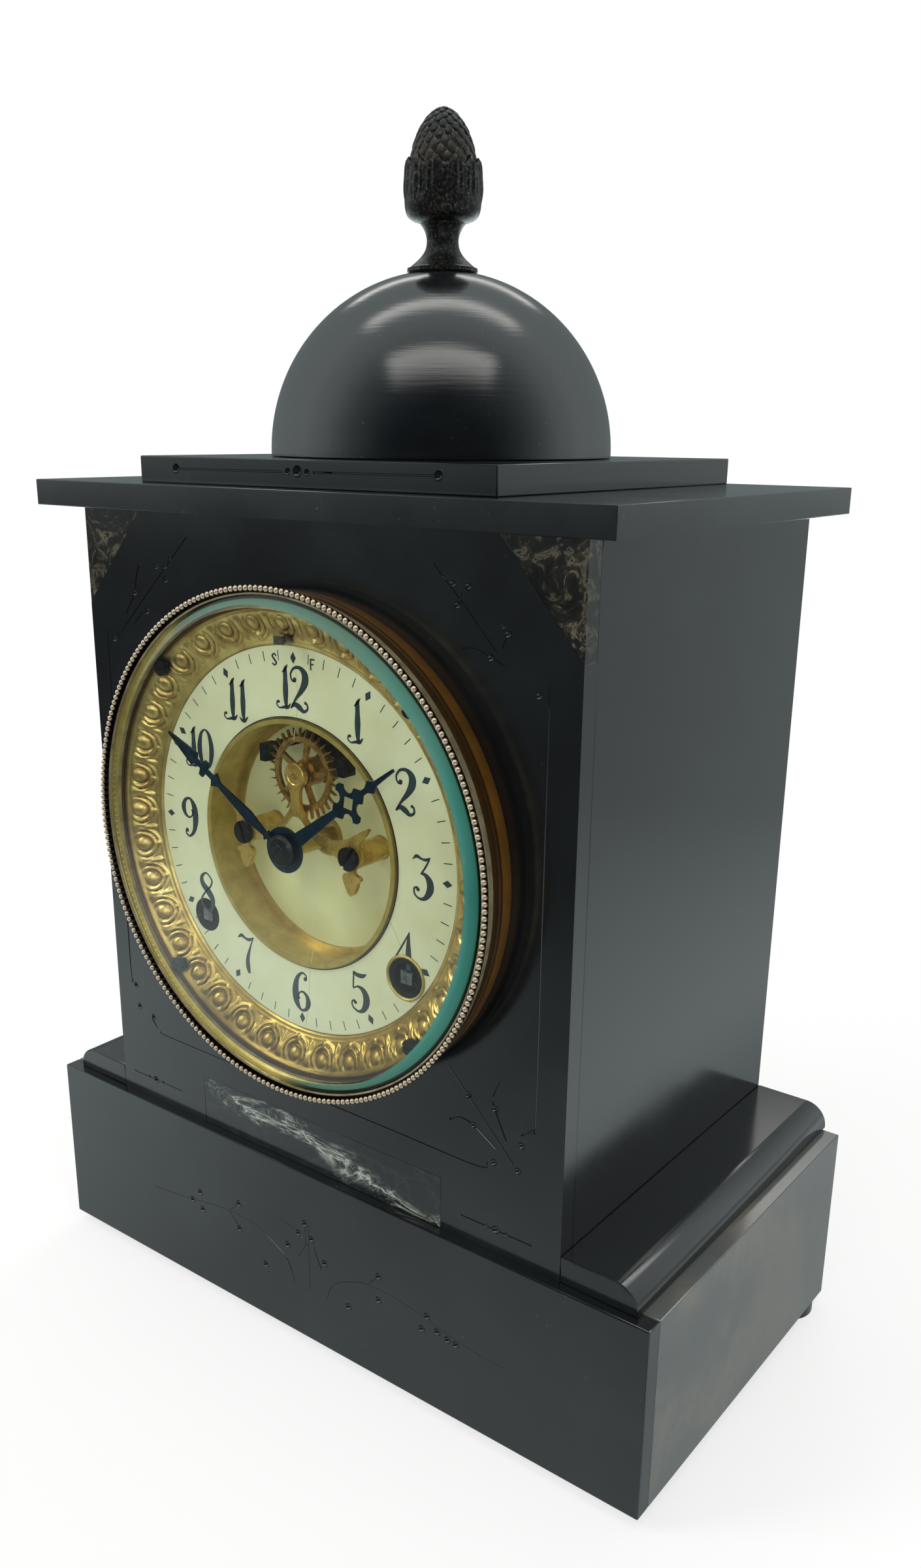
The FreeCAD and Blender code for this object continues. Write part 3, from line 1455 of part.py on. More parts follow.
def make_strike_train():
    thick = s.wheel_thick
    arbor = s.arbor_radius
    great_turn = 0.0
    line = heading(strike_winding, pin_spot)
    pin_leaf = in_mesh(great_turn, s.great_teeth, leaves, line)
    line = heading(pin_spot, warning_spot)
    warning_leaf = in_mesh(pin_leaf, s.second_teeth, leaves, line)
    line = heading(warning_spot, fly_spot)
    fly_leaf = in_mesh(warning_leaf, s.third_teeth, leaves, line)

    great = wheel_solid(
        s.great_teeth, s.great_module, s.great_level, s.great_thick, great_turn
    ).cut(round_solid(s.winding_radius + s.arbor_fit, s.movement_front, far_back))
    set_wheel("strike_great_wheel", [great], strike_winding)

    solids = [
        round_solid(arbor, s.movement_front, far_back),
        wheel_solid(s.second_teeth, s.second_module, s.second_level, thick, pin_leaf),
        pinion_solid(s.great_module, s.great_level, s.great_thick, pin_leaf),
    ]
    count = int(s.pin_count)
    for number in range(count):
        angle = 2 * math.pi * number / count
        pin_bar = round_solid(s.fork_radius, s.second_level, s.second_level + thick + s.pin_length)
        reach = float(s.pin_circle)
        pin_bar.translate(Vector(reach * math.cos(angle), 0, reach * math.sin(angle)))
        solids.append(pin_bar)
    set_wheel("strike_pin_wheel", solids, pin_spot)

    solids = [
        round_solid(arbor, s.movement_front, far_back),
        wheel_solid(s.third_teeth, s.centre_module, s.third_level, thick, warning_leaf),
        pinion_solid(s.second_module, s.second_level, thick, warning_leaf),
    ]
    set_wheel("strike_warning_wheel", solids, warning_spot)

    half, fly_thick = float(s.fly_half), float(s.fly_thick)
    vane = Part.makeBox(
        half * 2,
        float(s.fly_back - s.fly_front),
        fly_thick,
        Vector(-half, float(s.fly_front), -fly_thick / 2),
    )
    solids = [
        round_solid(arbor, s.movement_front, far_back),
        pinion_solid(s.centre_module, s.third_level, thick, fly_leaf),
        vane,
    ]
    set_wheel("strike_fly", solids, fly_spot)


def make_winding():
    """Winding arbors with their squares and ratchets, and the two mainsprings."""
    teeth = int(s.ratchet_teeth)
    for node, spot in (("time", time_winding), ("strike", strike_winding)):
        step = 2 * math.pi / teeth
        corners = []
        for tooth in range(teeth):
            depth = float(s.ratchet_radius * crossing_share)
            corners.append((depth, step * tooth))
            corners.append((float(s.ratchet_radius), step * (tooth + crossing_share)))
        outline = [Vector(r * math.cos(a), 0, r * math.sin(a)) for r, a in corners]
        ratchet = closed_face(outline).extrude(Vector(0, float(s.ratchet_thick), 0))
        ratchet_front = s.great_level + s.great_thick + s.knuckle_gap
        ratchet.translate(Vector(0, float(ratchet_front), 0))
        side = float(s.winding_square)
        square = Part.makeBox(
            side,
            float(s.winding_square_length),
            side,
            Vector(-side / 2, float(-s.winding_front), -side / 2),
        )
        solids = [
            round_solid(s.winding_radius, s.winding_square_length - s.winding_front, far_back),
            round_solid(s.core_radius, s.spring_front, s.spring_back),
            ratchet,
            square,
        ]
        set_wheel(f"{node}_winding_arbor", solids, spot)

    springs = []
    for name, spot, side in (("time", time_winding, 1), ("strike", strike_winding, -1)):
        shape = spiral_ribbon(side)
        feature = formed(f"{name}_spring", shape)
        place(feature, spot[0], face_y + s.spring_front, dial_z + spot[1])
        springs.append(feature)
    piece("mainsprings", group("spring_group", springs))


def half_turns(inside, pitch_size, count, side, offset=0.0):
    """Half circles that open into a spiral, each as its start, middle and end."""
    arcs = []
    for number in range(int(count)):
        radius = inside + pitch_size * number / 2
        odd = number % 2
        hub = pitch_size / 2 * odd
        sign = -1 if odd else 1
        reach = radius + offset
        start = Vector(side * (hub + sign * reach), 0, 0)
        middle = Vector(side * hub, 0, sign * reach)
        end = Vector(side * (hub - sign * reach), 0, 0)
        arcs.append((start, middle, end))
    return arcs


def spiral_ribbon(side):
    """A mainspring: one flat strip wound in a spiral."""
    half = float(s.spring_strip / 2)
    inside, step, count = float(s.spring_inside), float(s.spring_pitch), s.spring_half_turns
    outer = half_turns(inside, step, count, side, half)
    inner = half_turns(inside, step, count, side, -half)
    edges = [Part.Arc(*arc).toShape() for arc in outer]
    edges.append(Part.LineSegment(outer[-1][2], inner[-1][2]).toShape())
    edges += [Part.Arc(*reversed(arc)).toShape() for arc in reversed(inner)]
    edges.append(Part.LineSegment(inner[0][0], outer[0][0]).toShape())
    face = Part.Face(Part.Wire(edges))
    return face.extrude(Vector(0, float(s.spring_back - s.spring_front), 0))


# Escapement: anchor with its crutch, and the cock in front
def make_escapement():
    reach, drop = s.anchor_reach, s.anchor_drop
    waist = s.anchor_waist
    place_up = (0.0, dial_z + s.anchor_rise)
    bow = [
        (-reach, -drop - waist),
        (-reach * crossing_share, -drop - waist),
        (0.0, -waist / 2),
        (reach * crossing_share, -drop - waist),
        (reach, -drop - waist),
        (reach, -drop),
        (0.0, waist),
        (-reach, -drop),
    ]
    strap = plate("anchor_strap", bow, [], s.anchor_back, s.anchor_thick, *place_up)
    boss_back = s.anchor_back - s.anchor_thick
    boss_front = s.anchor_back + s.anchor_thick
    boss = bar("anchor_boss_bar", s.anchor_boss, boss_back, boss_front, *place_up)
    rod = bar("anchor_rod", s.arbor_radius, -far_back - s.crutch_gap, s.anchor_back, *place_up)
    solids = [strap, boss, rod]
    clear = s.escape_radius + s.pallet_clear
    for name, side in (("left", -1), ("right", 1)):
        # each pallet stands just outside the circle of the tooth tips
        x = (reach - s.pallet_width / 2) * side
        low = -drop - waist - s.pallet_length / 2
        shape = block(
            f"pallet_{name}",
            (x - s.pallet_width, x + s.pallet_width),
            (face_y - s.pallet_front, face_y - s.anchor_back),
            (dial_z + s.anchor_rise + low, dial_z + s.anchor_rise - drop),
        )
        wheel = bar(
            f"pallet_sweep_{name}", clear, s.anchor_back - OVERRUN, s.pallet_front + OVERRUN,
            0.0, dial_z + s.escape_rise,
        )
        solids.append(cut(f"pallet_cut_{name}", shape, [wheel]))
    crutch_back = far_back + s.crutch_gap + s.crutch_thick
    arm_z = (dial_z + s.anchor_rise - s.crutch_length, dial_z + s.anchor_rise + s.crutch_half)
    arm_y = (face_y + far_back + s.crutch_gap, face_y + crutch_back)
    solids.append(block("crutch_arm", (-s.crutch_half, s.crutch_half), arm_y, arm_z))
    fork_x = s.rod_radius + s.fork_gap + s.fork_radius
    fork_z = arm_z[0] + s.fork_radius
    bridge_x = fork_x + s.fork_radius
    bridge_z = (arm_z[0], arm_z[0] + s.fork_radius * 2)
    solids.append(block("crutch_bridge", (-bridge_x, bridge_x), arm_y, bridge_z))
    for name, side in (("left", -1), ("right", 1)):
        fork_back = -(s.rod_ahead + s.rod_radius)
        fork_front = -(far_back + s.crutch_gap)
        solids.append(bar(f"fork_{name}", s.fork_radius, fork_back, fork_front,
                          fork_x * side, fork_z))
    piece("pallet_anchor", fuse("anchor_solid", solids))

    piece("escapement_cock", make_cock())

    pillars = []
    for name, side in (("left", -1), ("right", 1)):
        x, z = s.cock_screw_x * side, dial_z + s.cock_screw_z
        front = s.cock_back
        back = -s.movement_front
        pillar = bar(f"cock_pillar_{name}", s.cock_pillar, back, front, x, z)
        pillars.append(pillar)
        head_back = front + s.cock_thick
        head = bar(f"cock_head_{name}", s.cock_head, head_back, s.cock_head_front, x, z)
        slot = block(
            f"cock_slot_{name}",
            (x - s.cock_head - OVERRUN, x + s.cock_head + OVERRUN),
            (face_y - s.cock_head_front - OVERRUN, face_y - s.cock_head_front + s.slot_depth),
            (z - s.slot_width / 2, z + s.slot_width / 2),
        )
        pillars.append(cut(f"cock_screw_{name}", head, [slot]))
    piece("cock_pillars", group("cock_pillar_group", pillars))


def make_cock():
    """The front cock: a boss over the escape arbor, and two arms swept out to the pillars."""
    x_out = s.cock_screw_x
    rise = s.escape_rise
    stem = s.cock_boss * cock_stem_share
    split = rise * cock_split_share
    pad = s.cock_head
    low = s.cock_screw_z
    right = [
        (0.0, rise),
        (stem, rise),
        (stem, split + stem),
        (x_out / 3, split - stem * 2),
        (x_out - pad, low + pad / 2),
        (x_out, low + pad),
        (x_out * horn_reach_shares[0], low + rise * horn_rise_shares[0]),
        (x_out * horn_reach_shares[1], low + rise * horn_rise_shares[1]),
        (x_out * horn_reach_shares[1] + s.cock_thick / 2, low + rise * horn_rise_shares[0]),
        (x_out + pad, low),
        (x_out + x_out * leaf_half_shares[0], low - x_out * leaf_drop_shares[0]),
        (x_out + x_out * leaf_half_shares[1], low - x_out * leaf_drop_shares[1]),
        (x_out + x_out * leaf_half_shares[2] / 2, low - x_out * leaf_drop_shares[2] + stem),
        (x_out, low - x_out * leaf_drop_shares[2]),
        (x_out - x_out * leaf_half_shares[2], low - x_out * leaf_drop_shares[2] + stem),
        (x_out - x_out * leaf_half_shares[1], low - x_out * leaf_drop_shares[1]),
        (x_out - x_out * leaf_half_shares[0], low - x_out * leaf_drop_shares[0]),
        (x_out - pad, low - pad / 2),
        (x_out / 3, split - stem * 4),
        (0.0, split - stem),
    ]
    left = [(-x, z) for x, z in reversed(right[1:-1])]
    spread = plate("cock_arms", right + left, [], s.cock_back, s.cock_thick, 0.0, dial_z)
    solids = [spread]
    for name, side in (("left", -1), ("right", 1)):
        rest = (s.cock_back, s.cock_back + s.cock_thick)
        solids.append(bar(f"cock_pad_{name}", pad, *rest, x_out * side, dial_z + low))
    boss = bar("cock_boss_bar", s.cock_boss, s.cock_boss_back, s.cock_boss_front,
               0.0, dial_z + rise)
    bore = bar("cock_bore", s.arbor_radius + s.arbor_fit, s.cock_boss_back - OVERRUN,
               s.cock_boss_front + OVERRUN, 0.0, dial_z + rise)
    return cut("cock_solid", fuse("cock_joined", solids + [boss]), [bore])


# Pendulum, its suspension cock and the regulator arbor
def make_pendulum():
    plate_y = (face_y + far_back, face_y + far_back + s.cock_plate_thick)
    half = s.cock_plate_half
    rise = s.cock_block_low
    spread = block("hang_plate", (-half, half), plate_y, (dial_z + rise, dial_z + s.cock_top))
    block_y = (plate_y[0], face_y + s.cock_block_back)
    nose_z = (dial_z + rise, dial_z + s.cock_block_high)
    nose = block("hang_nose", (-half, half), block_y, nose_z)
    slot_y = (
        face_y + s.rod_ahead - s.suspension_half - s.cock_slot_half,
        face_y + s.rod_ahead + s.suspension_half + s.cock_slot_half,
    )
    slot = block(
        "hang_slot",
        (-s.cock_slot_half, s.cock_slot_half),
        slot_y,
        (dial_z + rise - OVERRUN, dial_z + s.suspension_top + s.knuckle_gap),
    )
    regulator_z = dial_z + s.regulator_rise
    bearing = (-(far_back + s.cock_plate_thick) - OVERRUN, -far_back + OVERRUN)
    hole = bar("hang_bore", s.regulator_radius + s.arbor_fit, *bearing, 0.0, regulator_z)
    # the anchor's arbor and crutch pass under the nose
    whole = cut("hang_solid", fuse("hang_joined", [spread, nose]), [slot, hole])
    piece("suspension_cock", whole)

    rod_y = face_y + s.rod_ahead
    bob_z = dial_z + s.anchor_rise - s.pendulum_length
    strip = block(
        "hang_strip",
        (-s.suspension_thick / 2, s.suspension_thick / 2),
        (rod_y - s.suspension_half, rod_y + s.suspension_half),
        (dial_z + s.suspension_foot, dial_z + s.suspension_top),
    )
    low = bob_z - s.bob_radius - s.rating_nut_height
    rod = upright("hang_rod", s.rod_radius, 0.0, rod_y, low, dial_z + s.suspension_foot)
    clip = block(
        "hang_clip",
        (-s.rod_radius, s.rod_radius),
        (rod_y - s.suspension_half, rod_y + s.suspension_half),
        (dial_z + s.suspension_foot - s.rating_nut_height, dial_z + s.suspension_foot + OVERRUN),
    )
    nut = upright("rating_nut_body", s.rating_nut, 0.0, rod_y, low, bob_z - s.bob_radius)
    piece("pendulum_rod", fuse("rod_solid", [strip, clip, rod, nut]))

    bob_profile = [
        (0.0, s.rod_ahead_back),
        (s.bob_radius, s.rod_ahead_back + s.bob_edge),
        (s.bob_radius, s.rod_ahead_front - s.bob_edge),
        (0.0, s.rod_ahead_front),
    ]
    lens = turned("bob", bob_profile, 0.0, bob_z)
    bore = s.rod_radius + s.bob_fit
    drill = upright("bob_drill", bore, 0.0, rod_y, bob_z - s.bob_radius - OVERRUN,
                    bob_z + s.bob_radius + OVERRUN)
    piece("pendulum_bob", cut("bob_cut", lens, [drill]))

    back = -(far_back + s.cock_plate_thick) - OVERRUN
    shaft = bar("regulator_shaft", s.regulator_radius, back, s.regulator_neck, 0.0, regulator_z)
    tip = square_bar(
        "regulator_tip", s.regulator_square, s.regulator_neck, s.regulator_front, 0.0, regulator_z
    )
    piece("regulator_arbor", fuse("regulator_solid", [shaft, tip]))


# Strike hammer, coil gong and its iron block
def make_gong():
    arbor_back = -(s.gong_level + s.hammer_head_length / 2)
    x, z = hammer_spot[0], dial_z + hammer_spot[1]
    head_z = z - s.hammer_drop
    solids = [
        bar("hammer_arbor_bar", s.hammer_arbor, arbor_back, -s.movement_front, x, z),
        upright("hammer_wire_bar", s.hammer_wire, x, face_y + s.gong_level, head_z, z),
        bar("hammer_head_bar", s.hammer_head, arbor_back,
            -(s.gong_level - s.hammer_head_length / 2), x, head_z),
    ]
    tail_y = (
        face_y + s.second_level + s.wheel_thick + s.hammer_gap,
        face_y + s.second_level + s.wheel_thick + s.pin_length,
    )
    tail_z = (z - s.hammer_tail_half, z + s.hammer_tail_half)
    solids.append(block("hammer_tail_bar", (x, x + s.hammer_tail), tail_y, tail_z))
    piece("hammer", fuse("hammer_solid", solids))

    arcs = half_turns(float(s.gong_inside), float(s.gong_pitch), s.gong_half_turns, 1)
    start = arcs[0][0]
    foot = start - Vector(0, 0, float(s.gong_run))
    edges = [Part.LineSegment(foot, start).toShape()]
    edges += [Part.Arc(*arc).toShape() for arc in arcs]
    spine = Part.Wire(edges)
    circle = Part.Circle(foot, Vector(0, 0, 1), float(s.gong_wire))
    wire = spine.makePipeShell([Part.Wire([circle.toShape()])], True, False)
    wire = Part.Solid(wire) if wire.ShapeType == "Shell" else wire
    coil = formed("gong_coil", wire)
    gong_z = dial_z - s.gong_drop
    place(coil, 0.0, face_y + s.gong_level, gong_z)

    boss_x = (s.gong_inside - s.gong_boss_half, s.gong_inside + s.gong_boss_half)
    boss_z = (gong_z - s.gong_run - s.gong_boss_height, gong_z - s.gong_run)
    boss_y = (face_y + s.gong_level - s.gong_boss_half, face_y + s.gong_post_back)
    boss = block("gong_boss", boss_x, boss_y, boss_z)
    post_y = (face_y + s.gong_post_front, face_y + s.gong_post_back)
    post = block("gong_post", boss_x, post_y, (base_top, boss_z[1]))
    half = s.gong_block_half
    foot_y = (face_y + s.gong_block_front, face_y + s.gong_block_back)
    foot_z = (base_top, base_top + s.gong_block_height)
    foot_block = block("gong_foot", (-half, half), foot_y, foot_z)
    stand = fuse("gong_stand", [boss, post, foot_block])
    piece("gong", group("gong_group", [coil, stand]))
    gap = float(s.gong_pitch - s.gong_wire * 2)
    print("gong: least gap between turns", round(gap, 3))
    print("mainsprings: least gap between turns", round(float(s.spring_pitch - s.spring_strip), 3))


s.bob_edge = (s.bob_thick - s.bob_rim) / 2
s.rod_ahead_back = -(s.rod_ahead + s.bob_thick / 2)
s.rod_ahead_front = -(s.rod_ahead - s.bob_thick / 2)

make_base()
make_body()
make_top()
make_back_door()
make_drum_and_sash()
make_dial()
make_hands()
make_frame()
make_time_train()
make_strike_train()
make_winding()
make_escapement()
make_pendulum()
make_gong()

doc.recompute()
failed = []
for thing in doc.Objects:
    if "Invalid" in thing.State or "Error" in thing.State:
        failed.append(f"{thing.Name} {thing.State}")
for node, thing in pieces.items():
    shape = thing.Shape
    if shape.isNull() or not shape.isValid() or not shape.Solids:
        failed.append(f"{node} has no valid solid")
if failed:
    raise RuntimeError("; ".join(failed))

os.makedirs("parts", exist_ok=True)
for node, thing in pieces.items():
    thing.Shape.exportStep(f"parts/{node}.step")
print(len(pieces), "nodes")
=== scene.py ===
# %% [markdown]
# # A black slate mantel clock
# The clock is a hollow case of slate slabs with a brass-bound dial let into its face. The CAD
# model holds its size and its moving parts, so everything here is either a finish for a CAD piece
# or a finer piece that stands in the same place.

# %% The frame and its measures
import json
import math

import bmesh
import bpy
from mathutils import Euler, Matrix, Vector


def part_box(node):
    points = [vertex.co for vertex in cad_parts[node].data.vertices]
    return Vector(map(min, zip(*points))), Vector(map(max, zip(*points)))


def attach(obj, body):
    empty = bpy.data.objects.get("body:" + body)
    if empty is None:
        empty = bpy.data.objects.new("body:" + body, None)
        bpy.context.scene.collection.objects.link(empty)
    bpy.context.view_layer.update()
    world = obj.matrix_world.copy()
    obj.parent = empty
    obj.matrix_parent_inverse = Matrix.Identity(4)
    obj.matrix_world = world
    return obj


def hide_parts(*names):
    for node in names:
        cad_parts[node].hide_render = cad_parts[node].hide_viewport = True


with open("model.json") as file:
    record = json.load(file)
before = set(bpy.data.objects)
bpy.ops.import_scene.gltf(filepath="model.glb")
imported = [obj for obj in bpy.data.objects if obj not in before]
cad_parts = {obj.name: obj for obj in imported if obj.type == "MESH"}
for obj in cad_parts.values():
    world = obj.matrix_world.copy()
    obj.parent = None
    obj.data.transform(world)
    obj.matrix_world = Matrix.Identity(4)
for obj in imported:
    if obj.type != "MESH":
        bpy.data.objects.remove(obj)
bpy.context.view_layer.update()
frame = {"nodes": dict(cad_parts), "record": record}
MM = 0.001
CASE = "case"
FORWARD = (0, -1, 0)
UPWARD = (0, 0, 1)

face_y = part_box("corner_inlays")[0][1]
ring_low, ring_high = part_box("enamel_chapter_ring")
DIAL = Vector((0.0, face_y, (ring_low[2] + ring_high[2]) / 2))
print("dial centre", [round(v / MM, 1) for v in DIAL], "mm")


def on_dial(x, ahead, z):
    """A place from the dial's centre, in millimetres: right, ahead of the case's face, and up."""
    return DIAL + Vector((x, -ahead, z)) * MM


def depths(node):
    """How far a CAD piece's back and front lie ahead of the case's face, in millimetres."""
    low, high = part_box(node)
    return (face_y - high[1]) / MM, (face_y - low[1]) / MM


# %% [markdown]
# ## The photograph's view
# The case's straight edges and the dial's circles fix where the camera stood: a little above the
# cornice and to the right. The lens and its shift repeat the photograph's framing.

# %% The camera
PHOTO_LONG = 2400
PHOTO_SHORT = 1410
SENSOR = 36.0
FOCAL_PIXELS = 2003.08
PRINCIPAL = (674.63, 1296.68)
CAMERA_PLACE = Vector((258.29, -331.24, 295.55)) * MM
LOOKS = Vector((-0.58151, 0.75483, -0.30344))
RIGHT = Vector((0.79073, 0.61212, 0.00737))
UP = Vector((-0.1913, 0.23566, 0.95282))

lens = bpy.data.cameras.new("view")
lens.sensor_width = SENSOR
lens.lens = FOCAL_PIXELS / PHOTO_LONG * SENSOR
lens.shift_x = (PHOTO_SHORT / 2 - PRINCIPAL[0]) / PHOTO_LONG
lens.shift_y = (PRINCIPAL[1] - PHOTO_LONG / 2) / PHOTO_LONG
lens.clip_start = 0.01
camera = bpy.data.objects.new("view", lens)
bpy.context.scene.collection.objects.link(camera)
turn = Matrix((RIGHT, UP, -LOOKS)).transposed()
camera.matrix_world = Matrix.Translation(CAMERA_PLACE) @ turn.to_4x4()
bpy.context.scene.camera = camera
bpy.context.scene.view_settings.view_transform = "Standard"
print("lens", round(lens.lens, 2), "mm")

# %% [markdown]
# ## Helpers for finishes
# A finish is a small tree of nodes. One function adds a node with its settings and links, and
# another turns the hex colours of a paint chart into the linear values that the shader wants.


# %% Nodes and colours
def tint(code):
    """A linear colour from an sRGB hex value."""
    parts = [int(code[i : i + 2], 16) / 255 for i in (1, 3, 5)]
    linear = [c / 12.92 if c <= 0.04045 else ((c + 0.055) / 1.055) ** 2.4 for c in parts]
    return (*linear, 1.0)


def feed(socket, value):
    """Give a socket its plain value, or link it to another socket or to a node's first output."""
    if isinstance(value, bpy.types.Node):
        value = value.outputs[0]
    if isinstance(value, bpy.types.NodeSocket):
        socket.id_data.links.new(value, socket)
    elif value is not None:
        socket.default_value = value


def add(tree, kind, inputs=None, **settings):
    """A node with its settings and with what is fed into it."""
    node = tree.nodes.new(f"ShaderNode{kind}")
    for key, value in settings.items():
        setattr(node, key, value)
    for socket, value in (inputs or {}).items():
        feed(node.inputs[socket], value)
    return node


def tree_of(*values):
    """The tree of the first socket or node among some values."""
    return next(v.id_data for v in values if isinstance(v, (bpy.types.Node, bpy.types.NodeSocket)))


def wire(node, **sources):
    """Feed a node's inputs by name; an underscore stands for a space."""
    for socket, source in sources.items():
        feed(node.inputs[socket.replace("_", " ")], source)


def finish(name, colour, **values):
    """A new material, its tree and its shader with a plain colour."""
    material = bpy.data.materials.new(name)
    material.use_nodes = True
    tree = material.node_tree
    shader = tree.nodes["Principled BSDF"]
    wire(shader, Base_Color=tint(colour), **values)
    return material, tree, shader


def ramp(factor, *stops):
    """Colours along a factor, from pairs of place and hex colour."""
    node = add(tree_of(factor), "ValToRGB", {"Fac": factor})
    marks = node.color_ramp.elements
    for count, (place, colour) in enumerate(stops):
        mark = marks[count] if count < len(marks) else marks.new(place)
        mark.position = place
        mark.color = tint(colour)
    return node.outputs["Color"]


def maths(operation, first, second=None):
    """One sum on sockets or plain numbers."""
    inputs = {0: first, 1: second}
    return add(tree_of(first, second), "Math", inputs, operation=operation).outputs[0]


def plus(first, second):
    return maths("ADD", first, second)


def minus(first, second):
    return maths("SUBTRACT", first, second)


def times(first, second):
    return maths("MULTIPLY", first, second)


def larger(first, second):
    return maths("MAXIMUM", first, second)


def share(value, start, end, low=0.0, high=1.0, **settings):
    """A number from low to high, by how far a value lies on its way from start to end."""
    spots = {"Value": value, "From Min": start, "From Max": end, "To Min": low, "To Max": high}
    return add(tree_of(value), "MapRange", spots, **settings).outputs["Result"]


def spread(factor, low, high):
    """A factor mapped between two plain values."""
    return share(factor, 0.0, 1.0, low, high)


def blend(kind, first, second, factor=1.0):
    """Two colours, the second laid on the first."""
    inputs = {"Factor": factor, 6: first, 7: second}
    return add(tree_of(first, second), "Mix", inputs, data_type="RGBA", blend_type=kind).outputs[2]


def either(weight, first, second):
    """A shader between two others."""
    return add(tree_of(weight), "MixShader", {0: weight, 1: first, 2: second}).outputs[0]


def place_of(tree):
    """A point's place in the object, in metres."""
    return add(tree, "TexCoord").outputs["Object"]


def axes(tree, vector=None):
    """The X, Y and Z of a point's place, or of another vector."""
    return add(tree, "SeparateXYZ", {"Vector": vector or place_of(tree)}).outputs


def length_of(vector):
    return add(tree_of(vector), "VectorMath", {0: vector}, operation="LENGTH").outputs["Value"]


def from_axis(tree):
    """A point's distance from the dial's axis, in millimetres."""
    shifted = add(tree, "VectorMath", {0: place_of(tree), 1: DIAL}, operation="SUBTRACT")
    flat = add(tree, "VectorMath", {0: shifted, 1: (1 / MM, 0, 1 / MM)}, operation="MULTIPLY")
    return length_of(flat)


def cloud(tree, size_mm, detail=4.0, rough=0.55, twist=0.0, stretch=None):
    """Soft noise whose blots are about the given size."""
    source = place_of(tree)
    if stretch:
        source = add(tree, "Mapping", {"Vector": source, "Scale": stretch})
    look = {"Scale": 1 / (size_mm * MM), "Detail": detail, "Roughness": rough, "Distortion": twist}
    return add(tree, "TexNoise", {"Vector": source, **look}).outputs["Fac"]


def off_middle(factor):
    """How far a factor lies from one half."""
    return maths("ABSOLUTE", minus(factor, 0.5))


def relief(shader, height, depth_mm):
    """Fine height on a surface, through the shader's normal."""
    inputs = {"Distance": depth_mm * MM, "Height": height}
    wire(shader, Normal=add(tree_of(shader), "Bump", inputs))


# %% [markdown]
# ## Stone
# The case is black limestone sold as slate: sawn, honed flat and waxed. It is nearly black, with a
# cool grey bloom where the wax is thin and fine straight honing marks, so it reflects like a dull
# mirror rather than like paint. The ends of the base have a painted reflection of the white floor,
# a lighter grey in their colour, and the plinth is the dullest.


# %% Honed slate
BLACK = ((0.3, "#0A0C0E"), (0.52, "#0E1113"), (0.74, "#15191A"))
# lighter greys for the base's ends: a painted reflection of the white floor
FLOOR_REFLECTION_TONES = ((0.3, "#474A4A"), (0.5, "#535552"), (0.62, "#625E56"), (0.78, "#585A58"))


def honed_slate(name, marks=(1.0, 1.0, 0.08), tones=BLACK, depth_mm=0.004, shine=0.95):
    """Waxed slate; marks stretches the honing along the axis with the smallest number."""
    material, tree, shader = finish(name, "#131619", Roughness=0.16, Specular_IOR_Level=shine)
    bloom = cloud(tree, 38, detail=5, rough=0.6)
    grain = cloud(tree, 1.6, detail=3)
    specks = cloud(tree, 0.9, detail=2, rough=0.4)
    dust = ramp(specks, (0.74, "#000000"), (0.8, "#5E615E"))
    wax = plus(times(bloom, 0.7), times(grain, 0.3))
    tone = blend("LIGHTEN", ramp(bloom, *tones), dust, 0.5)
    wire(shader, Base_Color=tone, Roughness=spread(wax, 0.06, 0.26))
    relief(shader, cloud(tree, 0.9, detail=2, stretch=marks), depth_mm)
    return material


slate = honed_slate("honed_black_slate")
turned_slate = honed_slate("turned_black_slate", marks=(0.05, 0.05, 1.0), depth_mm=0.03)
# painted reflection: the base's ends are a lighter grey that stands in for the white floor's reflection
slate_with_painted_floor_reflection = honed_slate("slate_of_the_base_with_painted_floor_reflection", tones=FLOOR_REFLECTION_TONES)
waxed_slate = honed_slate("waxed_slate_of_the_plinth", shine=0.62)


# %% [markdown]
# Marble is limestone crossed by veins of pale calcite. A vein is where a warped noise passes
# through its middle value, so a narrow ramp about one half draws thin wandering lines.


# %% Veined and mottled marble
def veined_marble():
    """Black marble whose white veins gather in a wandering band along the strip."""
    look = {"Roughness": 0.16, "Specular_IOR_Level": 0.95}
    material, tree, shader = finish("black_marble_white_veins", "#17191A", **look)
    low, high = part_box("marble_strip")
    x, _, z = axes(tree)
    sloping = plus(minus(z, (low[2] + high[2]) / 2), times(x, 0.16))
    wander = times(minus(cloud(tree, 30, detail=4), 0.5), 22 * MM)
    off_band = maths("ABSOLUTE", plus(sloping, wander))
    band = share(off_band, 1.0 * MM, 5.0 * MM, 1.0, 0.03)
    warp = cloud(tree, 17, detail=6, rough=0.6, twist=1.2, stretch=(0.5, 1.0, 1.2))
    thin = cloud(tree, 8, detail=7, rough=0.68, twist=2.0)
    tones = (0.0, "#A5ABA2"), (0.014, "#5A6159"), (0.04, "#1C201F"), (0.08, "#0A0C0E")
    broad = ramp(off_middle(warp), *tones)
    tones = (0.0, "#6F776E"), (0.014, "#2B312E"), (0.04, "#0A0C0E")
    lace = ramp(off_middle(thin), *tones)
    veins = blend("LIGHTEN", broad, lace)
    wire(shader, Base_Color=blend("MIX", tint("#0E1113"), veins, band))
    return material


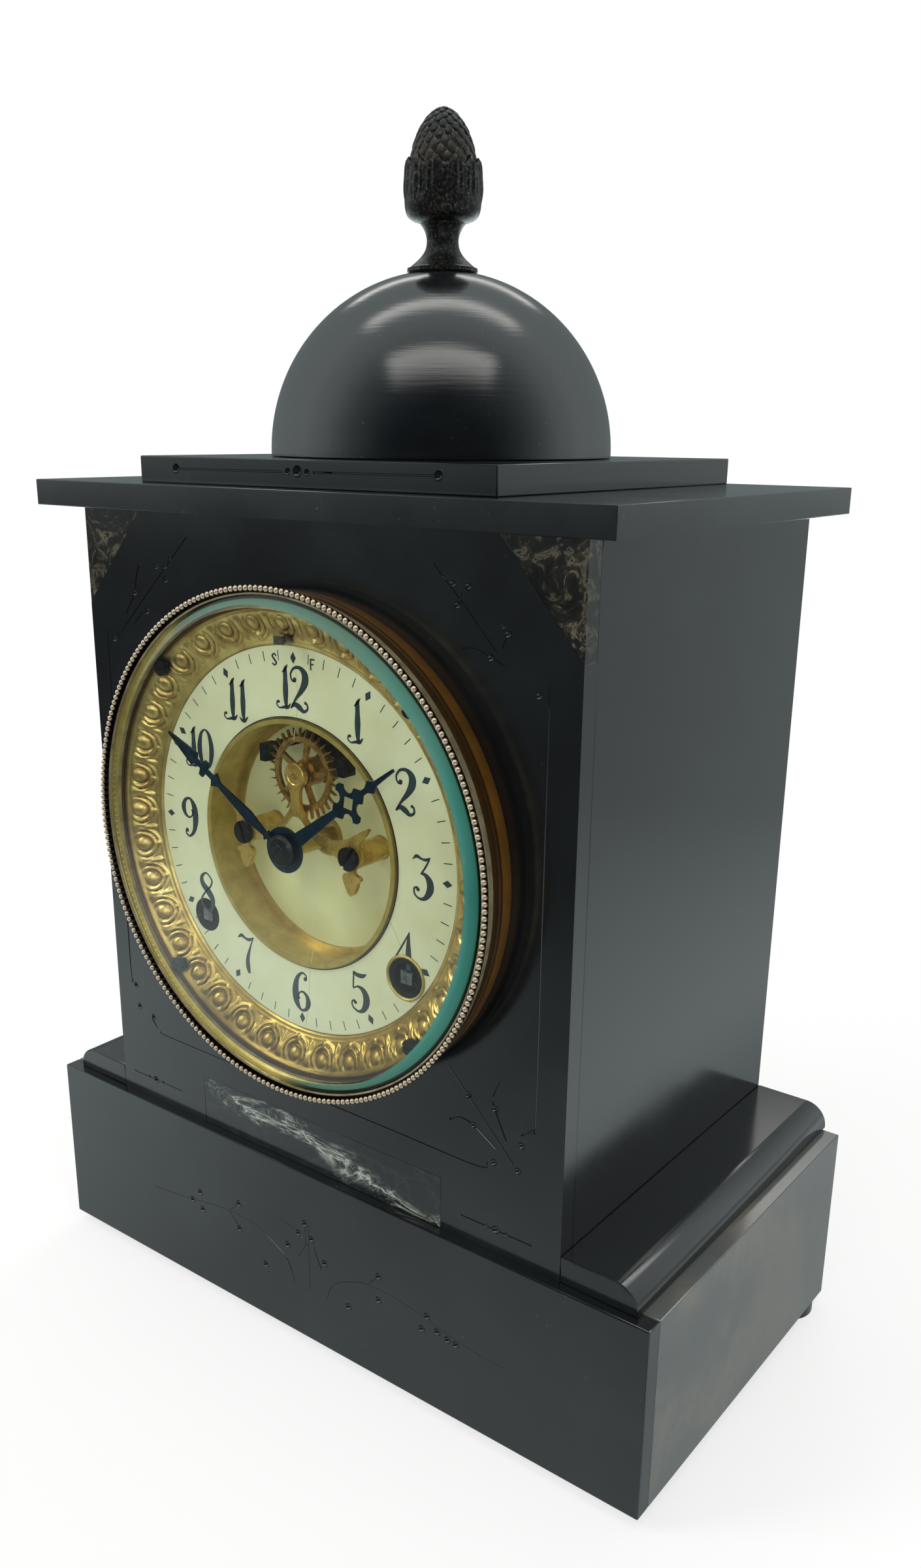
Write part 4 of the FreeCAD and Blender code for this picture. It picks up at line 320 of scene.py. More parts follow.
def mottled_marble():
    """Nearly black marble with brown blots, darker in broad patches."""
    look = {"Roughness": 0.2, "Specular_IOR_Level": 0.8}
    material, tree, shader = finish("brown_mottled_marble", "#3A3128", **look)
    tones = (
        (0.3, "#0D0F10"), (0.47, "#141412"), (0.54, "#2E2B22"),
        (0.58, "#605A48"), (0.62, "#1E1C18"), (0.8, "#0F1011"),
    )
    blots = ramp(cloud(tree, 9, detail=8, rough=0.66, twist=2.6), *tones)
    patches = ramp(cloud(tree, 22, detail=4, twist=1.0), (0.38, "#161718"), (0.62, "#FFFFFF"))
    wire(shader, Base_Color=blend("MULTIPLY", blots, patches, 0.85))
    return material


# %% [markdown]
# ## Metals
# Old brass is a yellow metal under a brown skin: the skin stays in the hollows and wears off where
# it is touched. Each metal here mixes a bright and a dull tone with noise of a few millimetres,
# and the dull places are rougher.


# %% Aged metals
def aged_metal(name, bright, dull, size_mm=7.0, rough=(0.2, 0.48), bias=(0.36, 0.66), metal=1.0):
    """Metal of a bright and a dull tone in blots, finely scratched."""
    material, tree, shader = finish(name, bright, Metallic=metal)
    blot = cloud(tree, size_mm, detail=6, rough=0.62, twist=0.4)
    tone = ramp(blot, (bias[0], bright), (bias[1], dull))
    wire(shader, Base_Color=tone, Roughness=spread(blot, *rough))
    relief(shader, cloud(tree, 0.6, detail=3), 0.008)
    return material


lacquered_brass = aged_metal(
    "lacquered_brass", "#CDB264", "#94803F", rough=(0.24, 0.42), bias=(0.3, 0.85), metal=0.7
)
drum_bronze = aged_metal("bronzed_brass", "#9A7A50", "#5E462E", size_mm=9, rough=(0.26, 0.45), metal=0.6)
gilt_wheel = aged_metal("gilt_wheel_brass", "#C49A50", "#7A5828", size_mm=3, rough=(0.2, 0.4), metal=0.8)
sawn_brass = aged_metal("sawn_brass", "#DDB962", "#AD8A42", size_mm=5, rough=(0.2, 0.34), metal=0.75)
polished_steel = aged_metal("polished_steel", "#9A9C9E", "#5C5E61", size_mm=3, rough=(0.2, 0.4))
dark_steel = aged_metal("darkened_steel", "#3A3A3D", "#1E1D1E", size_mm=2, rough=(0.28, 0.5))
dark_bronze = aged_metal("dark_bronze", "#3A332C", "#1C1B1A", rough=(0.35, 0.6))
blued_steel = aged_metal("blued_steel", "#274560", "#1D262E", size_mm=4, rough=(0.22, 0.42), bias=(0.42, 0.7))
japanned_iron = aged_metal("japanned_cast_iron", "#26272A", "#18191B", rough=(0.35, 0.6))
# the sash ring's bronze is lighter and greyer: a painted highlight along its side
sash_bronze_painted_highlight = aged_metal("sash_bronze_with_painted_highlight", "#B3A988", "#857757", size_mm=6, rough=(0.24, 0.4), metal=0.6)


def drum_with_shadow_line():
    """The drum's bronze banded by depth: painted shadow between its ridge and the sash, painted highlight
    lines beside it, and browner toward the case.
    """
    material = drum_bronze.copy()
    material.name = "bronzed_brass_drum_painted_light"
    tree = material.node_tree
    shader = tree.nodes["Principled BSDF"]
    # bands by depth: the dark ones are painted shadow and the brightest ones painted highlights
    centimetres_ahead = times(minus(face_y, axes(tree)[1]), 0.1 / MM)
    tones = (
        (0.0, "#957238"), (0.36, "#B4863F"), (0.44, "#3A2A16"),
        (0.5, "#A8874E"), (0.56, "#4C3A1E"), (0.9, "#6C5632"),
    )
    painted_light_bands = ramp(centimetres_ahead, *tones)
    toned = blend("MULTIPLY", shader.inputs["Base Color"].links[0].from_socket, painted_light_bands)
    wire(shader, Base_Color=blend("ADD", toned, painted_light_bands, 0.35))
    return material


# %% [markdown]
# ## Enamel, felt and glass
# The chapter ring is vitreous enamel: white glass with a little yellow green, fired on copper. Its
# surface is glossy and barely wavy. The sash glass is plate glass with a slight green cast.


# %% Enamels and felt
def fired_enamel(name, light, deep, rough=0.16):
    """Smooth enamel with a broad stain in it."""
    material, tree, shader = finish(name, light, Roughness=rough)
    wire(shader, Base_Color=ramp(cloud(tree, 24, detail=4), (0.35, light), (0.75, deep)))
    relief(shader, cloud(tree, 9, detail=1), 0.02)
    return material


def pressed_felt():
    material, tree, shader = finish("pressed_felt", "#1D211E", Roughness=0.95, Sheen_Weight=0.4)
    relief(shader, cloud(tree, 0.5, detail=5), 0.15)
    return material


ring_enamel = fired_enamel("cream_enamel", "#CFCCAE", "#BFBA95")
disc_enamel = fired_enamel("olive_cream_enamel", "#D4CFA0", "#C2BA82", rough=0.3)


# %% Plate glass
def plate_glass(name="plate_glass", edge=None):
    """Clear glass that lets lamp light through to the dial; edge gives a colour and its weight."""
    look = {"Roughness": 0.0, "IOR": 1.5, "Transmission_Weight": 1.0}
    material, tree, shader = finish(name, "#F4FAF5", **look)
    clear = add(tree, "BsdfTransparent", {"Color": tint("#F7FBF8")})
    path = add(tree, "LightPath").outputs
    result = either(larger(path["Is Shadow Ray"], path["Is Diffuse Ray"]), shader, clear)
    if edge:
        colour, weight = edge(tree)
        green = add(tree, "BsdfPrincipled", {"Roughness": 0.12, "Base Color": colour})
        result = either(weight, result, green)
    wire(tree.nodes["Material Output"], Surface=result)
    return material


# %% [markdown]
# ## Finishes for the CAD pieces
# Every CAD piece carries a slot name in the record. Each slot gets its finish here, and the finer
# pieces below ask for the same finishes.

# %% Slots to finishes
FINISHES = {
    "slate": slate,
    "marble": mottled_marble(),
    "veined_marble": veined_marble(),
    "felt": pressed_felt(),
    "brass": lacquered_brass,
    "gilt_brass": gilt_wheel,
    "dark_bronze": dark_bronze,
    "bronze": drum_bronze,
    "steel": polished_steel,
    "dark_steel": dark_steel,
    "blued_steel": blued_steel,
    "enamel": ring_enamel,
    "disc_enamel": disc_enamel,
    "glass": plate_glass(),
    "iron": japanned_iron,
}
NODE_SLOT = {row["node"]: row["material_slot"] for row in frame["record"]["subparts"]}
BODY_OF = {
    node: body
    for body, nodes in frame["record"]["behaviour"]["bodies"].items()
    for node in nodes
}
for node, thing in frame["nodes"].items():
    material = FINISHES[NODE_SLOT[node]]
    thing.data.materials.clear()
    thing.data.materials.append(material)
# the sash ring takes the lighter bronze that paints its highlight
frame["nodes"]["sash_ring"].data.materials[0] = sash_bronze_painted_highlight
frame["nodes"]["dial_drum"].data.materials[0] = drum_with_shadow_line()
# the nut before the hands is dark steel, and the winding arbors are painted dark as shade deep in their
# holes, where the other steel is bright
for node in ("hand_washer", "time_winding_arbor", "strike_winding_arbor"):
    frame["nodes"][node].data.materials[0] = dark_steel
print(len(NODE_SLOT), "nodes have a finish")

# %% [markdown]
# ## Helpers for shapes
# Pieces are made of points and faces at their real places, so an object never needs moving. Two
# forms cover most of a clock: a profile turned about a line, and an outline with a thickness.


# %% Meshes
SHARP = math.radians(35)


def show(name, mesh):
    """An object for a mesh, in the scene."""
    thing = bpy.data.objects.new(name, mesh)
    bpy.context.scene.collection.objects.link(thing)
    return thing


def mesh_of(form, name):
    """A mesh from worked geometry, which is freed."""
    mesh = bpy.data.meshes.new(name)
    form.to_mesh(mesh)
    form.free()
    return mesh


def keep(name, points, faces, slot, body=CASE, material=None, smooth=True):
    """An object from points and faces, riding on a body with its slot's finish."""
    mesh = bpy.data.meshes.new(name)
    mesh.from_pydata([tuple(p) for p in points], [], faces)
    mesh.validate()
    thing = show(name, mesh)
    dress(thing, slot, body, material)
    if smooth:
        ease_shading(thing)
    return thing


def dress(thing, slot, body=CASE, material=None):
    """Give a piece its slot's finish, or another material, and the body that it moves with."""
    thing.data.materials.clear()
    thing.data.materials.append(material or FINISHES[slot])
    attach(thing, body)


def ease_shading(thing, angle=SHARP, slab=False):
    """Smooth shading that keeps the edges sharper than the angle; a slab's level faces stay flat."""
    mesh = thing.data
    # normals that were stored with the CAD mesh no longer fit a reworked one
    if "custom_normal" in mesh.attributes:
        mesh.attributes.remove(mesh.attributes["custom_normal"])
    mesh.set_sharp_from_angle(angle=angle)
    smooth = [not slab or max(abs(part) for part in face.normal) < 0.9999 for face in mesh.polygons]
    mesh.polygons.foreach_set("use_smooth", smooth)
    mesh.update()


def turned(
    name, profile, slot, centre=DIAL, axis=FORWARD, body=CASE, sides=128, material=None, replaces=None
):
    """A closed profile of (radius, height) in millimetres, turned about an axis through a centre."""
    across = Vector((1, 0, 0))
    up = Vector(axis).normalized()
    other = up.cross(across)
    points, faces, rows = [], [], []
    for radius, height in profile:
        row = []
        for step in range(sides if radius > 1e-6 else 1):
            angle = 2 * math.pi * step / sides
            arm = (across * math.cos(angle) + other * math.sin(angle)) * radius
            row.append(len(points))
            points.append(centre + (arm + up * height) * MM)
        rows.append(row)
    for low, high in zip(rows, rows[1:] + rows[:1]):
        for step in range(sides):
            after = (step + 1) % sides
            corners = [low[step % len(low)], low[after % len(low)]]
            corners += [high[after % len(high)], high[step % len(high)]]
            corners = list(dict.fromkeys(corners))
            if len(corners) > 2:
                faces.append(corners)
    thing = keep(name, points, faces, slot, body, material)
    face_outward(thing)
    if replaces:
        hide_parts(replaces)
    return thing


def face_outward(thing):
    """Point all faces out of the solid."""
    form = bmesh.new()
    form.from_mesh(thing.data)
    bmesh.ops.recalc_face_normals(form, faces=form.faces)
    form.to_mesh(thing.data)
    form.free()


def smooth_line(points, steps=6, closed=False):
    """Points of a curve through the given ones, each a tuple of numbers."""
    count = len(points)
    spans = count if closed else count - 1
    line = []
    for span in range(spans):
        if closed:
            around = [points[(span + k) % count] for k in (-1, 0, 1, 2)]
        else:
            around = [points[min(max(span + k, 0), count - 1)] for k in (-1, 0, 1, 2)]
        for step in range(steps):
            t = step / steps
            line.append(tuple(catmull(values, t) for values in zip(*around)))
    if not closed:
        line.append(tuple(points[-1]))
    return line


def catmull(values, t):
    """One coordinate of a curve between the second and third of four values."""
    a, b, c, d = values
    bend = (2 * a - 5 * b + 4 * c - d) * t**2 + (3 * b - a - 3 * c + d) * t**3
    return 0.5 * (2 * b + (c - a) * t + bend)


def slab_from(name, outline, ahead, thick, slot, body=CASE, ease_mm=0.15, material=None, replaces=None):
    """A plate parallel to the dial from an outline in millimetres, with eased edges."""
    form = bmesh.new()
    ring = [form.verts.new(on_dial(x, ahead, z)) for x, z in outline]
    edges = [form.edges.new(pair) for pair in zip(ring, ring[1:] + ring[:1])]
    bmesh.ops.triangle_fill(form, use_beauty=True, edges=edges)
    bmesh.ops.dissolve_limit(form, angle_limit=0.01, verts=form.verts, edges=form.edges)
    lifted = bmesh.ops.extrude_face_region(form, geom=form.faces[:])
    moved = [item for item in lifted["geom"] if isinstance(item, bmesh.types.BMVert)]
    bmesh.ops.translate(form, verts=moved, vec=(0, -thick * MM, 0))
    bmesh.ops.recalc_face_normals(form, faces=form.faces)
    thing = show(name, mesh_of(form, name))
    dress(thing, slot, body, material)
    if ease_mm:
        ease_edges(thing, ease_mm)
    if replaces:
        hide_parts(replaces)
    return thing


def ease_edges(thing, width_mm, segments=2):
    """Round a piece's sharp edges a little, as a file or a hone does."""
    modifier = thing.modifiers.new("eased", "BEVEL")
    modifier.width = width_mm * MM
    modifier.segments = segments
    modifier.limit_method = "ANGLE"
    modifier.angle_limit = SHARP
    modifier.harden_normals = False
    modifier.use_clamp_overlap = True
    settle(thing)
    ease_shading(thing, slab=True)


def settle(thing):
    """Apply a piece's modifiers to its mesh."""
    shown = bpy.context.evaluated_depsgraph_get()
    mesh = bpy.data.meshes.new_from_object(thing.evaluated_get(shown))
    thing.modifiers.clear()
    thing.data = mesh


def thicken(thing, thick_mm):
    """Give a sheet its thickness, away from the side that is seen."""
    shell = thing.modifiers.new("thick", "SOLIDIFY")
    shell.thickness = thick_mm * MM
    shell.offset = -1
    settle(thing)


def copy_of(node, name, material=None):
    """A welded copy of a CAD piece's mesh, that can be worked further."""
    mesh = frame["nodes"][node].data.copy()
    form = bmesh.new()
    form.from_mesh(mesh)
    bmesh.ops.remove_doubles(form, verts=form.verts, dist=0.002 * MM)
    bmesh.ops.dissolve_limit(form, angle_limit=0.01, verts=form.verts, edges=form.edges)
    bmesh.ops.recalc_face_normals(form, faces=form.faces)
    form.to_mesh(mesh)
    form.free()
    thing = show(name, mesh)
    dress(thing, NODE_SLOT[node], BODY_OF[node], material)
    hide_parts(node)
    return thing


# %% [markdown]
# ## Slate slabs with eased edges
# A sawn slab's edges are rubbed down by hand, or they would chip. Each slab is a copy of the CAD
# piece with its edges rounded by about half a millimetre, which draws the fine bright lines that
# part one slab from the next.

# %% Slabs
SLAB_EASE = 0.45
INLAY_EASE = 0.2
SLABS = (
    "base_side_panels", "base_back_rail", "body_side_panels",
    "body_back_panel", "shoulder_mouldings", "cornice_slab",
)
for node in SLABS:
    # the base's ends take the slate with the white floor's reflection painted in as lighter grey
    slab = copy_of(node, f"{node}_honed", slate_with_painted_floor_reflection if node == "base_side_panels" else None)
    ease_edges(slab, SLAB_EASE)
for node in ("corner_inlays", "marble_strip"):
    ease_edges(copy_of(node, f"{node}_polished"), INLAY_EASE)

# %% [markdown]
# ## Incised ornament
# The face is cut with sprigs of stems and berries: shallow V grooves and small round pits. They
# were once gilded and are now bare, so they show only as shape. A tool made of thin bars and balls
# is taken away from the slab with a boolean, as a burin would cut it.

# %% The burin
GROOVE = 0.3
PIT = 1.15
SMALL_PIT = 0.75
PIT_SHALLOW = 0.35


def bar_between(form, start, end, radius):
    """A thin six-sided bar, added to a cutting tool."""
    run = end - start
    middle = (start + end) / 2
    spin = run.to_track_quat("Z", "Y").to_matrix().to_4x4()
    bmesh.ops.create_cone(
        form,
        cap_ends=True,
        segments=6,
        radius1=radius,
        radius2=radius,
        depth=run.length + radius,
        matrix=Matrix.Translation(middle) @ spin,
    )


def engrave(thing, y, lines, pits, groove=GROOVE):
    """Cut grooves and pits into a slab's upright face at y; lines and pits are in millimetres."""
    form = bmesh.new()
    for line in lines:
        spots = [on_plane(y, x, z) for x, z in smooth_line(line, 5)]
        for start, end in zip(spots, spots[1:]):
            bar_between(form, start, end, groove * MM)
    for x, z, radius in pits:
        middle = Matrix.Translation(on_plane(y, x, z) - Vector((0, radius * PIT_SHALLOW * MM, 0)))
        bmesh.ops.create_icosphere(form, subdivisions=3, radius=radius * MM, matrix=middle)
    burin = show("burin", mesh_of(form, "burin"))
    cut = thing.modifiers.new("incised", "BOOLEAN")
    cut.object = burin
    cut.operation = "DIFFERENCE"
    cut.solver = "EXACT"
    cut.use_self = True
    settle(thing)
    bpy.data.objects.remove(burin)
    ease_shading(thing, math.radians(28), slab=True)
    print(thing.name, "has", len(lines), "grooves and", len(pits), "pits")


def on_plane(y, x, z):
    """A point of an upright plane, right of the middle and above the floor of the base."""
    return Vector((x * MM, y, (z + FLOOR_GAP) * MM))


# %% [markdown]
# The places of the sprigs are measured from the case's centre line and from the floor of the base.

# %% Ornament on the face
FLOOR_GAP = 4.0
PANEL_LINES = [
    [(47.4, 258.9), (58, 248.6), (68, 238)],
    [(57, 238), (61, 238.6), (65.9, 236.8), (70.4, 235)],
    [(56.5, 252.5), (55.6, 249.5)],
    [(71, 243), (69.5, 239.5)],
    [(85, 230), (83.4, 229), (84, 226), (84, 165), (84, 112), (83, 107.5), (79.5, 104.6)],
    [(53.8, 118), (66, 105.6), (77, 94.5)],
    [(71.7, 118), (69.6, 113), (70.3, 109.7), (74.3, 101.2)],
    [(54.5, 101), (58, 103), (63, 102), (70.7, 97.3)],
    [(68, 92), (64, 89.4), (30, 89.6), (-30, 89.8), (-68, 90), (-73, 90.8), (-76.5, 94.5)],
    [(-46.5, 260.5), (-62, 246), (-81, 228)],
    [(-69, 251), (-70.8, 246.5), (-71.7, 242.3), (-76.5, 235.5)],
    [(-66, 237), (-69.5, 235.3), (-73, 232.5)],
    [(-86.5, 230), (-86.5, 170), (-86.5, 112), (-85.6, 107)],
    [(-88, 70.8), (-63, 70.8)],
    [(59, 70.8), (84, 70.8)],
]
PANEL_PITS = [
    (50.6, 255.6, SMALL_PIT), (53.4, 254.2, PIT), (58.5, 253.9, PIT), (55.1, 248.9, PIT),
    (71, 243, PIT), (69.5, 244.8, SMALL_PIT), (65.9, 236.5, PIT), (80.9, 228.6, PIT),
    (61, 111, PIT), (70.3, 109.7, PIT), (63, 102, PIT), (79.7, 101.3, PIT),
    (70.4, 92.6, PIT), (78.6, 92.9, PIT), (-61, 251, PIT), (-57, 251.4, PIT),
    (-54.5, 253.8, SMALL_PIT), (-56.8, 247.3, PIT), (-71.7, 242.3, PIT), (-66.2, 237, PIT),
    (-83, 226.8, PIT), (-84.2, 105.3, PIT), (-82.9, 97.6, PIT), (-75.8, 95.4, PIT),
    (-80, 70.8, SMALL_PIT), (-76.5, 70.8, PIT * 1.25), (-72.7, 70.8, SMALL_PIT),
    (68, 70.8, SMALL_PIT), (71.5, 70.8, PIT * 1.25), (75.2, 70.8, SMALL_PIT),
]

front_panel = copy_of("body_front_panel", "body_front_panel_incised")
ease_edges(front_panel, SLAB_EASE)
engrave(front_panel, face_y, PANEL_LINES, PANEL_PITS)

# %% Ornament on the base and the plinth
BASE_LINES = [
    [(-7.3, 20), (-10.5, 27), (-17, 31), (-25, 34), (-38, 34.5), (-50, 33), (-64, 30.5), (-77, 29)],
    [(7.3, 20), (10.5, 26.5), (17, 30.5), (25, 33), (38, 33), (50, 31), (64, 28.5), (78, 27.7)],
    [(-0.4, 20), (-0.4, 44)],
    [(-5, 31), (-2, 36), (-2, 44)],
    [(-12, 41), (-5, 39.5), (-0.5, 36)],
    [(5, 30), (2.5, 35), (1, 39.6)],
    [(-38, 34.5), (-33, 39.3)],
    [(-38, 34.5), (-33, 29.5)],
    [(25, 33), (29.5, 38)],
    [(25, 33), (29.5, 29.3)],
]
BASE_PITS = [
    (x, z, PIT * 1.15)
    for x, z in (
        (-52.4, 36.2), (-56.5, 31.7), (-51.5, 29.7), (-33, 39.3), (-33, 29.5), (-20.7, 20.6),
        (-10, 32.9), (-2, 44.2), (-5, 39.5), (1, 39.6), (6.5, 32.8), (16.7, 20.9), (29.5, 38),
        (29.5, 29.3), (49, 32.4), (47, 27), (53, 28.7), (57, 27.7), (60.2, 27.5),
    )
]
base_front = copy_of("base_front_panel", "base_front_panel_incised")
ease_edges(base_front, SLAB_EASE)
engrave(base_front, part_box("base_front_panel")[0][1], BASE_LINES, BASE_PITS, groove=0.16)

PLINTH_LINES = [[(-50.3, 280.2), (-7, 280.3)], [(5, 280.4), (48, 280.6)]]
PLINTH_PITS = [
    (-50.3, 280.2, 1.6), (-4.6, 280.4, 1.1), (-1, 280.5, 1.8), (2.6, 280.3, 1.1), (48, 280.6, 1.5),
]
plinth = copy_of("top_plinth_slab", "top_plinth_slab_incised", material=waxed_slate)
ease_edges(plinth, 0.35)
engrave(plinth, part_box("top_plinth_slab")[0][1], PLINTH_LINES, PLINTH_PITS)

# %% [markdown]
# ## The dome
# The dome is one block of slate turned on a lathe, so its marks run round it. The CAD piece has
# this shape already; a finer turning keeps its outline smooth from near by.

# %% Turned dome
dome_low, dome_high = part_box("dome")
DOME_R = (dome_high[0] - dome_low[0]) / 2 / MM
DOME_H = (dome_high[2] - dome_low[2]) / MM
TOP = Vector((0.0, (dome_low[1] + dome_high[1]) / 2, dome_low[2]))
DOME_RIM = 1.0
STUD_HOLE = 2.7
ARC_STEPS = 40
dome_profile = [(STUD_HOLE, 0.0), (DOME_R - 0.4, 0.0), (DOME_R, 0.4)]
for step in range(ARC_STEPS + 1):
    angle = math.asin((DOME_H - DOME_RIM) / DOME_R) * step / ARC_STEPS
    dome_profile.append((DOME_R * math.cos(angle), DOME_RIM + DOME_R * math.sin(angle)))
dome_profile.append((STUD_HOLE, DOME_H))
turned("dome_turned", dome_profile, "slate", TOP, UPWARD, material=turned_slate, replaces="dome")

# %% [markdown]
# ## The finial
# A cast pine cone stands in a cup of leaves on a turned neck. The casting was bronzed nearly black,
# and rubbing has laid bare a warm brown on the scales. The leaves lap round the cup, and the scales
# follow two spirals, as on a real cone, with the golden angle between one and the next.


# %% Bronzed casting
def bronzed_casting():
    """Nearly black bronzing, rubbed to brown where the scales begin, and in flecks."""
    material, tree, shader = finish("bronzed_spelter", "#2A2725", Metallic=0.75, Roughness=0.34)
    low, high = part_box("finial")[0][2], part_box("finial")[1][2]
    tall = high - low
    height = axes(tree)[2]
    rise = share(height, low + tall * 0.58, low + tall * 0.68)
    drop = share(height, low + tall * 0.72, low + tall * 0.86, 1.0, 0.55)
    worn = spread(cloud(tree, 2.2, detail=6, rough=0.7), 0.1, 1.15)
    flecks = spread(cloud(tree, 0.9, detail=5, rough=0.8), -1.3, 2.1)
    weight = larger(times(times(rise, drop), worn), flecks)
    tones = (0.0, "#101314"), (0.4, "#232627"), (0.75, "#4A453E"), (1.0, "#86725C")
    wire(shader, Base_Color=ramp(weight, *tones))
    relief(shader, cloud(tree, 0.5, detail=4), 0.05)
    return material


spelter = bronzed_casting()

# %% Neck, leaf cup and cone
FINIAL = Vector((TOP.x, TOP.y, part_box("finial")[0][2]))
CAST = {"slot": "dark_bronze", "centre": FINIAL, "axis": UPWARD, "material": spelter}
NECK = [(9.6, 1.7), (8.4, 2.7), (6.6, 4.3), (5.2, 6.3), (4.7, 8.4), (4.9, 10.4), (5.7, 12.2), (6.5, 13.3)]
FOOT = [(2.5, 0.0), (10.2, 0.0), (10.5, 0.4), (10.4, 1.4)]
CUP_POINTS = [
    (8.4, 14.2), (10.2, 15.2), (11.1, 17.4), (11.3, 20.5),
    (11.1, 24.5), (10.9, 27.2), (10.3, 28.4), (9.0, 28.8),
]
CUP = smooth_line(CUP_POINTS, 5)
neck_profile = [*FOOT, *smooth_line(NECK, 5), (6.6, 13.6), *CUP, (2.5, 28.8)]
turned("finial_neck_and_cup", neck_profile, sides=72, replaces="finial", **CAST)


def round_finial(angle, radius, height):
    """A place from the finial's foot, by its angle, its radius and its height in millimetres."""
    return FINIAL + Vector((math.cos(angle) * radius, math.sin(angle) * radius, height)) * MM


def cup_radius(v):
    """The cup's radius at a share of its height."""
    return CUP[min(int(v * (len(CUP) - 1)), len(CUP) - 1)][0] - 0.2


LEAF_ROWS, LEAF_COLUMNS = 15, 21
LEAF_LOW = 14.3
TIP_CURL, TIP_STARTS = 0.55, 0.85


def leaf(middle, high, half, offset, points, faces):
    """One upright leaf of the cup: a fluted sheet with a rounded tip that curls in."""
    start = len(points)
    for row in range(LEAF_ROWS):
        v = row / (LEAF_ROWS - 1)
        belly = 0.72 + 0.28 * math.sin(v * math.pi * 0.8)
        width = half * math.sqrt(max(0.0, 1 - v**6)) * belly + 0.02
        curl = TIP_CURL * max(0.0, (v - TIP_STARTS) / (1 - TIP_STARTS)) ** 2
        for column in range(LEAF_COLUMNS):
            u = column / (LEAF_COLUMNS - 1) * 2 - 1
            flutes = 0.6 * math.cos(u * math.pi / 2) + 0.2 * math.cos(u * math.pi * 3.0) - 0.3
            reach = cup_radius(v * 0.86) + offset + flutes - curl
            height = LEAF_LOW + (high - LEAF_LOW) * v - 0.9 * abs(u) ** 1.5 * v**3
            points.append(round_finial(middle + u * width / reach, reach, height))
    for row in range(LEAF_ROWS - 1):
        for column in range(LEAF_COLUMNS - 1):
            corner = start + row * LEAF_COLUMNS + column
            across, above = corner + 1, corner + LEAF_COLUMNS
            faces.append([corner, across, above + 1, above])


LEAVES = 11
leaf_points, leaf_faces = [], []
for high, half, offset, shift in ((31.0, 3.25, 0.2, 0.0), (30.2, 2.6, -0.5, 0.5)):
    for count in range(LEAVES):
        middle = 2 * math.pi * (count + shift) / LEAVES
        leaf(middle, high, half, offset, leaf_points, leaf_faces)
leaves = keep("finial_leaves", leaf_points, leaf_faces, "dark_bronze", material=spelter)
thicken(leaves, 0.5)
ease_shading(leaves, math.radians(50))

CONE_LOW, CONE_HIGH, CONE_R = 26.0, 44.2, 9.5
CONE_TALL = CONE_HIGH - CONE_LOW
CONE_STEPS = 14


def cone_radius(v):
    """The cone's radius at a share of its height: an ogive."""
    return CONE_R * (1 - v**2.2) ** 0.62 + 0.15


slices = [k / CONE_STEPS for k in range(CONE_STEPS + 1)]
cone_profile = [(cone_radius(v), CONE_LOW + CONE_TALL * v) for v in slices]
cone_profile = [(0.0, CONE_LOW), *cone_profile, (0.0, CONE_HIGH)]
turned("finial_cone_core", cone_profile, sides=40, **CAST)

GOLDEN_ANGLE = math.pi * (3 - math.sqrt(5))
SCALES = 130
SCALE_SHAPE = Matrix.Diagonal((0.3, 0.95, 1.35, 1.0))
form = bmesh.new()
for count in range(SCALES):
    v = 0.02 + 0.96 * (count / (SCALES - 1)) ** 0.85
    angle = GOLDEN_ANGLE * count
    size = 1.75 * (1 - 0.45 * v)
    rise = cone_radius(max(v - 0.03, 0)) - cone_radius(min(v + 0.03, 1))
    slope = math.atan2(rise, 0.06 * CONE_TALL)
    spot = round_finial(angle, cone_radius(v) - 0.1, CONE_LOW + CONE_TALL * v)
    tilt = Euler((0, -slope - 0.08, angle), "XYZ").to_matrix().to_4x4()
    place = Matrix.Translation(spot) @ tilt @ SCALE_SHAPE
    bmesh.ops.create_icosphere(form, subdivisions=2, radius=size * MM, matrix=place)
scales = show("finial_scales", mesh_of(form, "finial_scales"))
dress(scales, "dark_bronze", CASE, spelter)
ease_shading(scales, math.radians(60))
print("finial:", LEAVES * 2, "leaves and", SCALES, "scales")

# %% [markdown]
# ## Beaded edge of the sash
# The sash is rolled with a fine row of beads, one every two millimetres. Each bead has a painted
# pinkish silver highlight on its crown and painted shade down its sides, so the gaps between them are dark.


# %% Beads
bead_low, bead_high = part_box("bead_ring")
BEAD_R = (bead_high[1] - bead_low[1]) / 2 / MM
BEAD_CIRCLE = (bead_high[0] - bead_low[0]) / 2 / MM - BEAD_R
BEAD_AHEAD = (face_y - (bead_low[1] + bead_high[1]) / 2) / MM
BEADS = round(2 * math.pi * BEAD_CIRCLE / (BEAD_R * 2.08))


def rubbed_beads():
    """A painted highlight on the crown of each bead, and painted shade down its sides."""
    material, tree, shader = finish("bead_metal_painted_highlight_and_shade", "#C9AE97", Metallic=0.85, Roughness=0.26)
    crown = face_y - (BEAD_AHEAD + BEAD_R) * MM
    depth = share(axes(tree)[1], crown, crown + BEAD_R * 1.3 * MM)
    tones = (0.22, "#EBD9C0"), (0.46, "#A58A6C"), (0.66, "#2E2219"), (0.85, "#0F0B08")
    wire(shader, Base_Color=ramp(depth, *tones))
    return material


